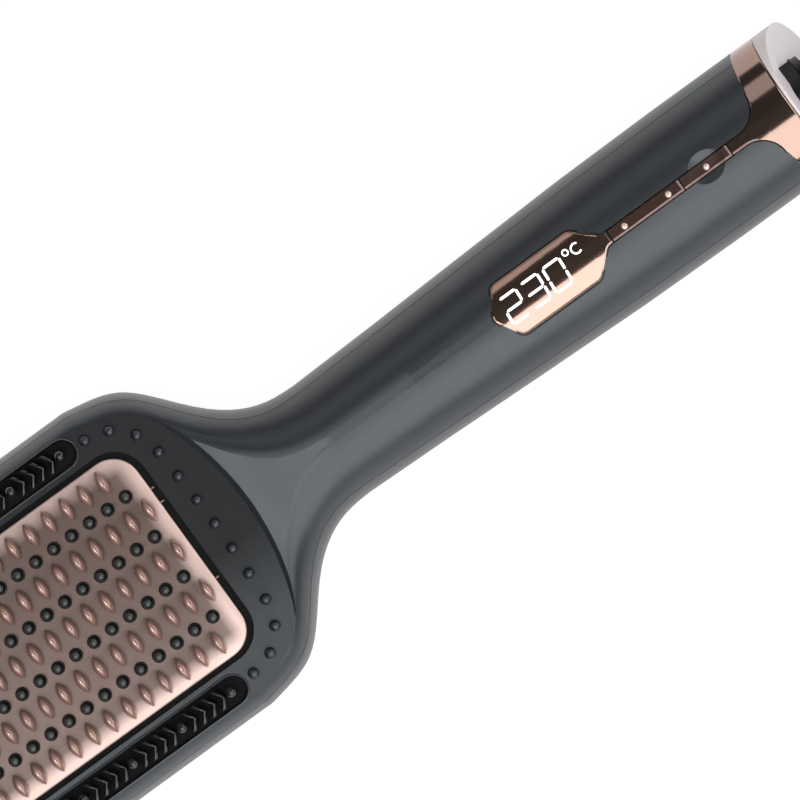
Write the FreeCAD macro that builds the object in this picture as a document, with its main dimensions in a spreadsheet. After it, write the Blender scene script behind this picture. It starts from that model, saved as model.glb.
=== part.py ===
import FreeCAD, Part
import math
import os
import re
from types import SimpleNamespace

import Sketcher

# A heated styling brush that lies on its back: +X runs from the tip of the head to the cord end,
# +Z points out of the toothed plate, and z = 0 is the flat underside that it rests on.
# Places along the brush are measured from the edge of the plate that is next to the handle.

doc = FreeCAD.newDocument("heated_styling_brush")

# Driving sizes in millimetres: name, value, meaning

SIZES = [
    ("wall", 2.0, "wall of the two housing shells"),
    ("overrun", 1.0, "how far a cutting tool runs past the surface it cuts"),
    ("fit_gap", 0.15, "gap between pieces that are pushed together"),
    ("move_gap", 0.3, "gap round a piece that moves"),
    ("run_gap", 0.05, "radial gap of a pin or a collar in its bearing"),
    ("below_rest", 0.6, "how far the lofted form reaches below the flat underside"),
    ("widest_height", 9.0, "height of the widest point of every section"),
    ("bottom_round", 9.5, "width of the rounding under the housing"),
    ("parting_height", 18.0, "height of the joint between the shells"),
    ("face_height", 22.5, "height of the flat front face of the head"),
    ("crease_radius", 64.0, "radius of the crease between neck and front face"),
    ("crease_place", 15.0, "where the crease crosses the middle line"),
    ("tip_straight", -90.0, "where the sides of the head start to close"),
    ("tip_length", 27.0, "length of the closing end of the head"),
    ("tip_end_half_width", 17.0, "half width of the blunt end of the head"),
    ("tip_drop_length", 8.0, "length over which the tip rounds down"),
    ("tip_top", 15.0, "top of the blunt end of the head"),
    ("tip_bottom", 5.4, "underside of the blunt end of the head"),
    ("plate_width", 51.1, "width of the heated plate"),
    ("waist_half_width", 14.3, "half width of the neck where it is slimmest"),
    ("head_margin", 13.45, "plate side to the side of the head"),
    ("plate_corner", 6.5, "corner radius of the heated plate"),
    ("plate_thickness", 2.6, "thickness of the heated plate"),
    ("plate_proud", 0.3, "how far the plate stands above the front face"),
    ("side_gap", 1.3, "gap beside the plate"),
    ("end_gap", 1.7, "gap at the ends of the plate"),
    ("tooth_pitch", 4.81, "step from tooth to tooth and from bristle to bristle"),
    ("tooth_edge", 2.9, "plate edge to the first tooth"),
    ("row_margin", 4.15, "plate side to the middle of the outer row of teeth"),
    ("tooth_length", 5.9, "tooth, across the brush"),
    ("tooth_width", 2.6, "tooth, along the brush"),
    ("tooth_height", 5.0, "height of a tooth above the plate"),
    ("tooth_root", 0.8, "how deep a tooth is rooted in the plate"),
    ("bristle_hole_radius", 1.55, "hole round a bristle"),
    ("bristle_radius", 0.6, "stem of a bristle"),
    ("bristle_tip_radius", 0.93, "ball at the end of a bristle"),
    ("bristle_tip_length", 1.7, "length of the ball"),
    ("bristle_height", 8.5, "height of a bristle above the plate"),
    ("carrier_width", 3.4, "strip that carries a row of bristles"),
    ("carrier_thickness", 2.4, "thickness of that strip and of a heater"),
    ("carrier_margin", 2.5, "plate edge to the end of strips and heaters"),
    ("tab_width", 1.6, "small tab of the plate that bridges the end gap"),
    ("tab_thickness", 0.8, "thickness of that tab"),
    ("tab_one", 14.3, "first tab, across the brush"),
    ("tab_two", 10.7, "second tab, across the brush"),
    ("tab_three", -9.6, "third tab, across the brush"),
    ("frame_top_drop", 0.8, "how far the black frame lies below the front face"),
    ("frame_lip", 1.5, "lip of the frame under the plate"),
    ("frame_flange", 0.6, "flange of the frame under the shell"),
    ("frame_thickness", 1.4, "thickness of the lip and the flange"),
    ("heater_gap", 0.45, "gap beside a heating bar"),
    ("clamp_thickness", 0.8, "sheet that presses the heaters to the plate"),
    ("clamp_side_margin", 2.35, "plate side to the side of that sheet"),
    ("clamp_margin", 5.0, "plate edge to the end of that sheet"),
    ("clamp_screw_place", 20.0, "plate edge to a screw of that sheet"),
    ("clamp_screw_margin", 4.65, "plate side to a screw of that sheet"),
    ("clamp_boss_radius", 2.2, "boss under the plate for that screw"),
    ("clamp_screw_radius", 1.0, "shank of that screw"),
    ("clamp_screw_length", 3.6, "length of that shank"),
    ("clamp_head_radius", 2.0, "head of that screw"),
    ("clamp_head_height", 1.5, "height of that head"),
    ("tray_thickness", 0.8, "wall of the heat shield tray"),
    ("tray_floor_height", 11.5, "height of the underside of the tray"),
    ("tray_notch_width", 22.0, "notch for the leads in the tray's end wall"),
    ("tray_notch_height", 4.5, "height of that notch"),
    ("tray_post_radius", 3.0, "post of the back shell under the tray"),
    ("tray_post_place", 15.0, "plate edge to a post"),
    ("tray_post_margin", 7.55, "plate side to a post"),
    ("sensor_length", 6.0, "temperature sensor"),
    ("sensor_width", 2.6, "width of the sensor"),
    ("sensor_place", -30.0, "middle of the sensor"),
    ("fuse_radius", 2.0, "thermal fuse"),
    ("fuse_length", 11.0, "length of the fuse"),
    ("fuse_place", -60.0, "middle of the fuse"),
    ("slot_width", 6.3, "slot in the front face for a side comb"),
    ("slot_reach", 6.0, "plate side to the middle of a slot"),
    ("slot_margin", 8.0, "plate edge to the end of a slot"),
    ("comb_drop", 1.0, "how far the base of a comb lies below the front face"),
    ("comb_flange", 0.6, "flange of the comb under the shell"),
    ("comb_flange_thickness", 1.6, "thickness of that flange"),
    ("comb_pin_pitch", 13.1, "step from one round pin of a comb to the next"),
    ("comb_pin_radius", 1.1, "round pin of a comb"),
    ("comb_pin_height", 6.5, "height of that pin above the front face"),
    ("comb_fin_pitch", 2.6, "step from fin to fin"),
    ("comb_fin_height", 3.6, "height of a fin above the front face"),
    ("comb_fin_width", 4.6, "width of a fin, across the brush"),
    ("comb_fin_bend", 1.5, "how far a fin is bent to a V"),
    ("comb_fin_thickness", 0.8, "thickness of a fin along the brush"),
    ("guard_radius", 1.05, "guard stud round the plate"),
    ("guard_height", 3.0, "height of a guard stud above the front face"),
    ("guard_depth", 1.0, "depth of the seat of a guard stud"),
    ("guard_crown", 0.5, "chamfer at the top of a guard stud"),
]

SIZES += [
    ("lens_start", 81.4, "head end of the display window"),
    ("lens_shoulder", 85.2, "where the window reaches its full width"),
    ("lens_narrow", 105.8, "where the window starts to close"),
    ("lens_strip_start", 111.0, "where the window meets the key strip"),
    ("lens_half_width", 6.5, "half width of the window"),
    ("lens_corner", 2.2, "rounding of the corners of the window"),
    ("lens_depth", 1.7, "depth of the seat of the window"),
    ("lens_ledge", 1.2, "ledge under the edge of the window"),
    ("strip_half_width", 1.35, "half width of the key strip"),
    ("strip_start", 112.65, "end of the window and start of the temperature key"),
    ("strip_middle", 131.8, "joint between the temperature key and the power key"),
    ("strip_end", 144.6, "end of the power key"),
    ("key_thickness", 1.9, "thickness of the bar of a key"),
    ("key_proud", 0.2, "how far a key stands above the handle"),
    ("key_hub_length", 3.4, "hub of the temperature key"),
    ("key_hub_height", 2.3, "height of that hub"),
    ("key_foot_length", 2.4, "foot of the temperature key above a switch"),
    ("key_foot_height", 1.75, "height of that foot"),
    ("key_flange_side", 1.2, "flange of the power key beside its bar"),
    ("key_flange_thickness", 0.8, "thickness of that flange"),
    ("key_neck", 0.6, "neck between that flange and the bar"),
    ("key_flange_length", 7.0, "length of that flange"),
    ("pivot_radius", 0.7, "pivot pin of the temperature key"),
    ("pivot_length", 7.4, "length of the pivot pin"),
    ("pivot_height", 24.1, "height of the pivot pin"),
    ("ear_length", 3.0, "ear of the front shell that holds the pivot pin"),
    ("ear_width", 1.5, "width of that ear"),
    ("ear_height", 2.6, "height of that ear"),
    ("dot_radius", 0.75, "bright stud on a key"),
    ("dot_depth", 0.6, "seat of that stud"),
    ("dot_proud", 0.2, "how far that stud stands up"),
    ("minus_place", 116.5, "stud and switch that lower the temperature"),
    ("plus_place", 128.2, "stud and switch that raise the temperature"),
    ("power_place", 138.4, "stud and switch of the power key"),
    ("dimple_radius", 4.15, "rim of the finger dimple round the power key"),
    ("dimple_depth", 1.0, "depth of the finger dimple"),
    ("ring_start", 154.5, "front edge of the metal ring, on top of the handle"),
    ("ring_length", 6.7, "length of the metal ring, on top of the handle"),
    ("ring_edge_slope", 5.0, "how much further back that edge is underneath"),
    ("ring_back_slope", 3.7, "how much further back the rear edge of the ring is underneath"),
    ("end_slope", 10.6, "how much longer the handle is underneath than on top"),
    ("tongue_depth", 2.2, "depth of the seat of the ring's tongue"),
    ("tongue_fillet", 6.5, "flare of the ring's tongue"),
    ("end_plate_thickness", 3.0, "part of the end plate that sits inside the ring"),
    ("end_plate_lip", 0.6, "how far the end plate stands out of the ring on top"),
    ("axis_height", 15.0, "height of the swivel axis"),
    ("collar_radius", 6.9, "swivel collar of the cord outlet"),
    ("collar_end", 184.0, "free end of the swivel collar"),
    ("collar_taper", 8.0, "length of the tapered end of the collar"),
    ("collar_end_radius", 5.8, "end of that taper"),
    ("collar_head_place", 144.8, "inner end of the collar"),
    ("collar_head_length", 2.4, "head of the collar behind its bush"),
    ("collar_head_radius", 8.6, "radius of that head"),
    ("cord_bore_radius", 3.2, "bore for the cord"),
    ("cord_bore_depth", 30.0, "depth of that bore"),
    ("cord_bore_point", 1.9, "drill point at the bottom of that bore"),
    ("boss_half_width", 7.95, "black boss that the collar leaves, half its width"),
    ("boss_top", 22.0, "flat top of that boss"),
    ("boss_end", 166.5, "outer end of that boss"),
    ("clip_length", 1.7, "length of the snap ring"),
    ("clip_radius", 8.2, "outside of the snap ring"),
    ("clip_depth", 0.9, "groove of the snap ring"),
    ("bush_length", 9.0, "bush that the collar turns in"),
    ("bush_wall", 2.4, "wall of the bush"),
    ("saddle_length", 3.0, "rib of a shell that holds the bush"),
    ("saddle_margin", 1.0, "bush end to that rib"),
    ("contact_radius", 1.2, "contact pin of the swivel"),
    ("contact_length", 11.0, "length of the contact pin"),
    ("contact_gap", 0.3, "gap round the contact pin"),
    ("socket_length", 12.0, "contact socket of the handle"),
    ("socket_width", 8.4, "width of that socket"),
    ("socket_bottom", 9.5, "underside of that socket"),
    ("socket_top", 17.2, "top of that socket"),
    ("socket_place", 141.5, "mouth of that socket"),
    ("board_start", 79.0, "head end of the control board"),
    ("board_length", 64.0, "length of the control board"),
    ("board_width", 20.0, "width of the control board"),
    ("board_thickness", 1.6, "thickness of the control board"),
    ("board_height", 17.5, "underside of the control board"),
    ("board_post_radius", 2.6, "post of the back shell under the board"),
    ("board_post_place", 3.6, "board end to a post"),
    ("board_post_side", 7.0, "middle line to a post"),
    ("board_screw_radius", 1.0, "shank of a board screw"),
    ("board_screw_length", 8.0, "length of that shank"),
    ("board_head_radius", 1.9, "head of a board screw"),
    ("board_head_height", 1.3, "height of that head"),
    ("display_length", 22.0, "numeric display on the board"),
    ("display_width", 9.6, "width of the display"),
    ("display_height", 4.5, "height of the display"),
    ("display_place", 95.5, "middle of the display"),
    ("switch_side", 6.0, "push switch on the board"),
    ("switch_height", 3.2, "height of its case"),
    ("plunger_radius", 1.4, "plunger of the push switch"),
    ("plunger_height", 0.6, "height of the plunger"),
    ("screw_head_radius", 2.6, "head of a housing screw"),
    ("screw_head_height", 1.8, "height of that head"),
    ("screw_recess", 1.0, "how deep that head lies"),
    ("screw_radius", 1.25, "shank of a housing screw"),
    ("screw_grip", 2.2, "how far a housing screw reaches into the front shell"),
    ("screw_boss_radius", 4.2, "boss round a housing screw"),
    ("head_screw_place", 9.0, "housing screws at the neck side of the head"),
    ("head_screw_side", 15.0, "those screws, across the brush"),
    ("tip_screw_place", -108.3, "housing screws at the tip"),
    ("tip_screw_side", 12.0, "those screws, across the brush"),
    ("neck_screw_place", 52.0, "housing screw in the neck"),
    ("lead_radius", 0.8, "insulated lead inside the housing"),
    ("lead_bend", 1.5, "tightest bend of a lead"),
    ("lead_start", -3.6, "where a heater lead leaves its bar"),
    ("lead_low", 15.6, "height of a heater lead in the tray's notch"),
    ("lead_notch_place", 8.0, "where the heater leads have left the tray"),
    ("lead_notch_side", 7.5, "heater lead to the middle line at that place"),
    ("lead_neck_place", 40.0, "where the leads have reached the neck"),
    ("lead_side", 8.0, "heater lead to the middle line in the neck"),
    ("lead_rise_place", 70.0, "where the leads have risen to the board"),
    ("sensor_lead_radius", 0.5, "lead of the temperature sensor"),
    ("sensor_lead_side", 0.75, "that lead to the middle line at the sensor"),
    ("sensor_drop_start", -4.4, "where that lead dips under the frame"),
    ("sensor_drop_end", -3.0, "where that lead has dipped"),
    ("sensor_lead_low", 16.2, "height of that lead in the neck"),
    ("sensor_turn_place", 20.0, "where that lead turns round the neck screw"),
    ("sensor_neck_side", 5.1, "that lead to the middle line beside the neck screw"),
    ("sensor_clear_place", 58.0, "where that lead has passed the neck screw"),
    ("sensor_board_side", 3.0, "that lead to the middle line at the board"),
    ("mains_lead_side", 2.6, "mains lead to the middle line"),
    ("mains_lead_height", 13.0, "height at which a mains lead leaves the socket"),
    ("mains_lead_reach", 7.0, "how far a mains lead runs before it turns up"),
]

# Sections of head and neck: name, place, share between the half widths of neck and head, top, edge rounding

SECTIONS = [
    ("head_far", -90.0, 1.0, 23.2, 6.0),
    ("head_near", -8.0, 1.0, 23.2, 6.0),
    ("shoulder_edge", -4.0, 0.986, 23.2, 6.5),
    ("shoulder_start", 0.0, 0.955, 23.2, 7.2),
    ("shoulder_round", 6.3, 0.862, 23.2, 8.4),
    ("shoulder_upper", 11.1, 0.692, 23.2, 10.0),
    ("shoulder_middle", 16.3, 0.441, 23.3, 11.6),
    ("shoulder_lower", 20.4, 0.267, 23.8, 12.6),
    ("neck_round", 26.0, 0.105, 24.7, 13.2),
    ("neck_start", 31.5, 0.024, 25.5, 13.2),
    ("neck", 38.0, 0.0, 26.2, 13.3),
]

# Sections of the grip: name, place, half width, top, edge rounding

GRIP_SECTIONS = [
    ("grip_start", 60.0, 14.9, 27.0, 13.9),
    ("grip_middle", 82.6, 15.7, 27.0, 14.7),
    ("grip_display", 110.7, 16.6, 27.0, 15.6),
    ("grip_keys", 135.7, 16.9, 27.0, 15.9),
    ("grip_end", 175.0, 16.9, 27.0, 15.9),
]

# Guard studs at the neck side of the plate: place, and share of the plate's half width

GUARDS = [
    ("guard_a", 6.9, 0.0),
    ("guard_b", 6.8, 0.254),
    ("guard_c", 6.5, 0.509),
    ("guard_d", 6.1, 0.771),
    ("guard_e", 4.4, 0.998),
    ("guard_f", 0.1, 1.162),
    ("guard_g", -5.4, 1.217),
]

# Counts

INNER_TEETH = 21        # teeth in each of the three inner rows
OUTER_TEETH = 19        # teeth in each of the two outer rows
BRISTLES = 20           # bristles in each of the four rows
COMB_PINS = 7           # round pins of a side comb
FINS_BETWEEN = 4        # fins between two of those pins
TIP_SECTIONS = 8        # sections through the closing end of the head
HOLE_SIDES = 6          # sides of a bristle hole
BRISTLE_SIDES = 6       # sides of a bristle
STUD_SIDES = 8          # sides of a guard stud
LEAD_SIDES = 6          # sides of a lead

# Shares

CREASE_RUN_SHARE = 1.4          # run of the slope at the crease, of its height
TOOTH_CREST_SHARE = 0.55        # crest of a tooth, of its root

# The sheet that drives the model

sheet = doc.addObject("Spreadsheet::Sheet", "Sheet")
sheet_rows = list(SIZES)
for name, place, width, top, rounding in SECTIONS + GRIP_SECTIONS:
    sheet_rows.append((name + "_place", place, "place of this section"))
    sheet_rows.append((name + "_top", top, "its top height"))
    sheet_rows.append((name + "_rounding", rounding, "width of its upper rounding"))
for name, place, half_width, top, rounding in GRIP_SECTIONS:
    sheet_rows.append((name + "_half_width", half_width, "half width of this section"))
for name, place, side_share in GUARDS:
    sheet_rows.append((name + "_place", place, "place of this guard stud"))
for row, (alias, value, meaning) in enumerate(sheet_rows, start=1):
    sheet.set(f"A{row}", meaning)
    sheet.set(f"B{row}", str(value))
    sheet.setAlias(f"B{row}", alias)
doc.recompute()
aliases = [alias for alias, value, meaning in sheet_rows]
size = SimpleNamespace(**{alias: float(sheet.get(alias)) for alias in aliases})

# Sizes that follow from the driving sizes, written in the sheet too

DERIVED = {
    "middle": "(tip_straight - tip_length + collar_end) / 2",
    "plate_length": f"2 * tooth_edge + {INNER_TEETH - 1} * tooth_pitch",
    "head_half_width": "plate_width / 2 + head_margin",
    "row_pitch": "(plate_width - 2 * row_margin) / 4",
    "heater_width": "row_pitch - carrier_width - 2 * heater_gap",
    "clamp_width": "plate_width - 2 * clamp_side_margin",
    "clamp_screw_side": "plate_width / 2 - clamp_screw_margin",
    "tray_post_side": "plate_width / 2 - tray_post_margin",
    "slot_side": "plate_width / 2 + slot_reach",
    "screw_top": "parting_height + screw_grip",
    "plate_top": "face_height + plate_proud",
    "plate_bottom": "face_height + plate_proud - plate_thickness",
    "face_under": "face_height - wall",
    "clamp_top": "face_height + plate_proud - plate_thickness - carrier_thickness",
    "roof_under": "grip_end_top - wall",
    "handle_top": "grip_end_top",
    "pivot_place": "(strip_start + strip_middle) / 2",
    "board_top": "board_height + board_thickness",
    "dimple_sphere": "(dimple_radius * dimple_radius + dimple_depth * dimple_depth) / (2 * dimple_depth)",
    "bush_radius": "collar_radius + run_gap",
    "bush_start": "collar_head_place + collar_head_length + move_gap",
}
for name, place, width_share, top, rounding in SECTIONS:
    DERIVED[name + "_half_width"] = f"waist_half_width + {width_share} * (head_half_width - waist_half_width)"
for name, place, side_share in GUARDS:
    DERIVED[name + "_side"] = f"{side_share} * plate_width / 2"
alias_pattern = re.compile(r"\b(" + "|".join(aliases + list(DERIVED)) + r")\b")


def in_sheet(text):
    """The expression with each size name pointed at the sheet."""
    return alias_pattern.sub(r"Sheet.\1", text)


for row, (alias, text) in enumerate(DERIVED.items(), start=len(sheet_rows) + 1):
    sheet.set(f"A{row}", "follows from the sizes above")
    sheet.set(f"B{row}", "=" + text)
    sheet.setAlias(f"B{row}", alias)
    doc.recompute()
    setattr(size, alias, float(sheet.get(alias)))


# Helpers: each makes document objects whose sizes are bound to the sheet

TURN_TO = {
    "z": FreeCAD.Rotation(),
    "x": FreeCAD.Rotation(FreeCAD.Vector(0, 1, 0), 90),
    "y": FreeCAD.Rotation(FreeCAD.Vector(1, 0, 0), -90),
}


def bind(thing, **expressions):
    """Bind properties of an object to expressions in sheet names."""
    for name, text in expressions.items():
        thing.setExpression(name, in_sheet(text))


def put(thing, x, y, z, along="z"):
    """Bind the place of an object, with x measured from the plate's edge next to the handle."""
    thing.Placement = FreeCAD.Placement(FreeCAD.Vector(), TURN_TO[along])
    thing.setExpression("Placement.Base.x", in_sheet(f"{x} - middle"))
    thing.setExpression("Placement.Base.y", in_sheet(y))
    thing.setExpression("Placement.Base.z", in_sheet(z))
    return thing


def block(label, length, width, height, x, y, z):
    """A block that starts at x, is centred on y and stands on z."""
    thing = doc.addObject("Part::Box", label)
    bind(thing, Length=length, Width=width, Height=height)
    return put(thing, x, f"{y} - ({width}) / 2", z)


def rod(label, radius, length, x, y, z, along="z"):
    """A round bar that starts at the given point."""
    thing = doc.addObject("Part::Cylinder", label)
    bind(thing, Radius=radius, Height=length)
    return put(thing, x, y, z, along)


def cone(label, radius, end_radius, length, x, y, z, along="z"):
    """A tapered round bar that starts at the given point."""
    thing = doc.addObject("Part::Cone", label)
    bind(thing, Radius1=radius, Radius2=end_radius, Height=length)
    return put(thing, x, y, z, along)


def fused(label, *pieces):
    """One solid made of several."""
    thing = doc.addObject("Part::MultiFuse", label)
    thing.Shapes = list(pieces)
    return thing


def grouped(label, *pieces):
    """Several equal pieces kept together as one sub-part."""
    thing = doc.addObject("Part::Compound", label)
    thing.Links = list(pieces)
    return thing


def less(label, base, *tools):
    """The base with the tools cut away."""
    tool = tools[0]
    if len(tools) > 1:
        tool = grouped(label + "_tools", *tools)
    thing = doc.addObject("Part::Cut", label)
    thing.Base = base
    thing.Tool = tool
    return thing


def shared(label, first, second):
    """What two solids have in common."""
    thing = doc.addObject("Part::Common", label)
    thing.Base = first
    thing.Tool = second
    return thing


def shaped(label, shape):
    """A sub-part or tool whose form is set by code, moved so that the length is centred."""
    thing = doc.addObject("Part::Feature", label)
    thing.Shape = shape
    thing.Placement = FreeCAD.Placement(FreeCAD.Vector(-size.middle, 0, 0), FreeCAD.Rotation())
    return thing


def origin_plane(body, role):
    """One of the body's own origin planes."""
    return [plane for plane in body.Origin.OriginFeatures if plane.Role == role][0]


def outline_sketch(body, name, role, corners):
    """A closed outline on an origin plane, each corner pinned by two sizes of the sheet."""
    sketch = body.newObject("Sketcher::SketchObject", name)
    sketch.AttachmentSupport = (origin_plane(body, role), [""])
    sketch.MapMode = "FlatFace"
    count = len(corners)
    turn = 2 * math.pi / count
    points = [FreeCAD.Vector(math.cos(turn * step), math.sin(turn * step), 0) for step in range(count)]
    for step in range(count):
        sketch.addGeometry(Part.LineSegment(points[step], points[(step + 1) % count]), False)
    for step in range(count):
        sketch.addConstraint(Sketcher.Constraint("Coincident", step, 2, (step + 1) % count, 1))
    for step, corner in enumerate(corners):
        for kind, axis, text in zip(("DistanceX", "DistanceY"), (-2, -1), corner):
            if text == "0":
                sketch.addConstraint(Sketcher.Constraint("PointOnObject", step, 1, axis))
                continue
            index = sketch.addConstraint(Sketcher.Constraint(kind, -1, 1, step, 1, 1.0))
            sketch.renameConstraint(index, f"{kind}_{step}")
            sketch.setExpression(f"Constraints.{kind}_{step}", in_sheet(text))
    return sketch


def rectangle(length, width):
    """Corners of a rectangle round the origin."""
    return [(f"{side_x}({length}) / 2", f"{side_y}({width}) / 2")
            for side_x, side_y in (("-", "-"), ("", "-"), ("", ""), ("-", ""))]


def padded(label, corners, height, x, y, z, role="XY_Plane"):
    """A body padded from an outline."""
    body = doc.addObject("PartDesign::Body", label)
    sketch = outline_sketch(body, label + "_outline", role, corners)
    pad = body.newObject("PartDesign::Pad", label + "_pad")
    pad.Profile = sketch
    bind(pad, Length=height)
    sketch.Visibility = False
    put(body, x, y, z)
    return body


def rounded_plate(label, length, width, corner, height, x, z):
    """A padded rectangle with its four upright edges rounded, centred on x."""
    body = padded(label, rectangle(length, width), height, x, "0", z)
    doc.recompute()
    pad = body.Tip
    upright = [f"Edge{number}" for number, edge in enumerate(pad.Shape.Edges, start=1)
               if abs(edge.tangentAt(edge.FirstParameter).z) > 0.5]
    fillet = body.newObject("PartDesign::Fillet", label + "_corners")
    fillet.Base = (pad, upright)
    bind(fillet, Radius=corner)
    return body


def turned(label, corners, x, y, z):
    """A body turned about the X axis from a half profile (along the axis, radius)."""
    body = doc.addObject("PartDesign::Body", label)
    sketch = outline_sketch(body, label + "_profile", "XZ_Plane", corners)
    turn = body.newObject("PartDesign::Revolution", label + "_turn")
    turn.Profile = sketch
    turn.ReferenceAxis = (sketch, ["H_Axis"])
    turn.Angle = 360
    put(body, x, y, z)
    return body


# The lofted form of the housing

ROOF_RISE_SHARE = 0.2      # slope at which the hollow rises from the head into the neck
QUARTER_SHARE = 4 * (math.sqrt(2) - 1) / 3     # handle length of a curve that follows a quarter ellipse


def quarter(start, corner, end):
    """A quarter of an ellipse from start to end that would meet at the given corner."""
    first = start + (corner - start) * QUARTER_SHARE
    second = end + (corner - end) * QUARTER_SHARE
    curve = Part.BezierCurve()
    curve.setPoles([start, first, second, end])
    return curve.toShape()


def chords(start, corner, end):
    """Two chords of the same quarter ellipse."""
    centre = start + end - corner
    middle = centre + (start - centre + end - centre) * math.sqrt(0.5)
    return [Part.makeLine(start, middle), Part.makeLine(middle, end)]


def section(place, half_width, top, bottom, upper_round, lower_round, smooth):
    """A section across the brush: a flat top and underside joined by four elliptical quarters.

    The hollow of the head isn't seen, so its quarters are drawn with chords.
    """
    def point(side, height):
        return FreeCAD.Vector(place, side, height)

    def rounding(start, corner, end):
        return [quarter(start, corner, end)] if smooth else chords(start, corner, end)

    top_flat = half_width - upper_round
    low_flat = half_width - lower_round
    waist = size.widest_height
    return Part.Wire([
        Part.makeLine(point(-low_flat, bottom), point(low_flat, bottom)),
        *rounding(point(low_flat, bottom), point(half_width, bottom), point(half_width, waist)),
        *rounding(point(half_width, waist), point(half_width, top), point(top_flat, top)),
        Part.makeLine(point(top_flat, top), point(-top_flat, top)),
        *rounding(point(-top_flat, top), point(-half_width, top), point(-half_width, waist)),
        *rounding(point(-half_width, waist), point(-half_width, bottom), point(-low_flat, bottom)),
    ])


def tip_section(step, inset):
    """One section of the closing end of the head, the last step being the blunt end."""
    angle = math.pi / 2 * step / TIP_SECTIONS
    depth = size.tip_length * math.sin(angle)
    drop = max(0.0, depth - size.tip_length + size.tip_drop_length) / size.tip_drop_length
    fall = math.sqrt(1 - min(1.0, drop) ** 2)
    closing = size.head_far_half_width - size.tip_end_half_width - inset
    top = size.tip_top + (size.head_far_top - size.tip_top) * fall
    if inset:
        top = min(top, size.face_height)
    bottom = size.tip_bottom - (size.below_rest + size.tip_bottom) * fall
    if inset:
        bottom = max(bottom, 0.0)
    return section(
        size.tip_straight - (size.tip_length - inset) * math.sin(angle),
        size.tip_end_half_width + closing * math.cos(angle),
        top - inset,
        bottom + inset,
        size.head_far_rounding - inset,
        size.bottom_round - inset,
        not inset,
    )


def long_section(name, inset, smooth):
    """One section of the head, neck or grip from the sheet."""
    place = getattr(size, name + "_place")
    top = getattr(size, name + "_top")
    bottom = -size.below_rest
    if inset:
        bottom = 0.0
        past_crease = max(0.0, place - size.crease_place - inset)
        top = min(top, size.face_height + ROOF_RISE_SHARE * past_crease)
    return section(
        place,
        getattr(size, name + "_half_width") - inset,
        top - inset,
        bottom + inset,
        getattr(size, name + "_rounding") - inset,
        size.bottom_round - inset,
        smooth,
    )


def housing_form(inset):
    """The whole outer form of the housing, or the hollow that lies inside it by the inset."""
    names = [row[0] for row in SECTIONS]
    grip_names = [row[0] for row in GRIP_SECTIONS]
    shoulder = names.index("head_near")
    tip = [tip_section(step, inset) for step in range(TIP_SECTIONS, -1, -1)]
    head = [long_section(name, inset, not inset) for name in names[:shoulder + 1]]
    neck = [long_section(name, inset, not inset) for name in names[shoulder:]]
    handle = [long_section(name, inset, True) for name in names[-1:] + grip_names]
    stretches = [
        Part.makeLoft(tip, True, bool(inset)),
        Part.makeLoft(head, True, True),
        Part.makeLoft(neck, True, bool(inset)),
        Part.makeLoft(handle, True, True),
    ]
    return stretches[0].multiFuse(stretches[1:])


outer_form = shaped("outer_form", housing_form(0.0))
hollow_form = shaped("hollow_form", housing_form(size.wall))

# Zones that divide the form into its shells, ring and end plate

FORM_WIDTH = "2 * crease_radius"
FORM_START = "tip_straight - tip_length - overrun"
ABOVE = "handle_top + overrun"


def ring_edge(height):
    """Front edge of the metal ring at a height."""
    return f"ring_start + ring_edge_slope * (handle_top - ({height})) / handle_top"


def ring_back(height, inset="0"):
    """Rear edge of the metal ring at a height, or a place before it."""
    return f"ring_start + ring_length - ({inset}) + ring_back_slope * (handle_top - ({height})) / handle_top"


def end_edge(height):
    """Sloping end of the handle at a height."""
    return f"ring_start + ring_length + end_plate_lip + end_slope * (handle_top - ({height})) / handle_top"


def side_zone(label, corners):
    """A zone seen from the side, as wide as the whole form."""
    return padded(label, corners, FORM_WIDTH, "0", f"({FORM_WIDTH}) / 2", "0", role="XZ_Plane")


front_zone = side_zone("front_zone", [
    (FORM_START, "parting_height"),
    (ring_edge("parting_height"), "parting_height"),
    (ring_edge(ABOVE), ABOVE),
    (FORM_START, ABOVE),
])
back_zone = side_zone("back_zone", [
    (FORM_START, "0"),
    (ring_edge("0"), "0"),
    (ring_edge("parting_height"), "parting_height"),
    (FORM_START, "parting_height"),
])
ring_zone = side_zone("ring_zone", [
    (ring_edge("0"), "0"),
    (ring_back("0"), "0"),
    (ring_back(ABOVE), ABOVE),
    (ring_edge(ABOVE), ABOVE),
])
end_zone = side_zone("end_zone", [
    (ring_back("0"), "0"),
    (end_edge("0"), "0"),
    (end_edge(ABOVE), ABOVE),
    (ring_back(ABOVE), ABOVE),
])
plug_zone = side_zone("plug_zone", [
    (ring_back("0", "end_plate_thickness"), "0"),
    (ring_back("0"), "0"),
    (ring_back(ABOVE), ABOVE),
    (ring_back(ABOVE, "end_plate_thickness"), ABOVE),
])

# Places that several pieces share

PLATE_MIDDLE = "-plate_length / 2"
SCREW_POINTS = [
    ("head_screw_place", "head_screw_side"),
    ("head_screw_place", "-head_screw_side"),
    ("tip_screw_place", "tip_screw_side"),
    ("tip_screw_place", "-tip_screw_side"),
    ("neck_screw_place", "0"),
]
TRAY_POSTS = [(place, side) for place in ("-tray_post_place", "tray_post_place - plate_length")
              for side in ("tray_post_side", "-tray_post_side")]
CLAMP_SCREWS = [(place, side) for place in ("-clamp_screw_place", "clamp_screw_place - plate_length")
                for side in ("clamp_screw_side", "-clamp_screw_side")]
BOARD_POSTS = [(place, side) for place in ("board_start + board_post_place",
                                           "board_start + board_length - board_post_place")
               for side in ("board_post_side", "-board_post_side")]
SIDES = {"left": "slot_side", "right": "-slot_side"}


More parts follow.
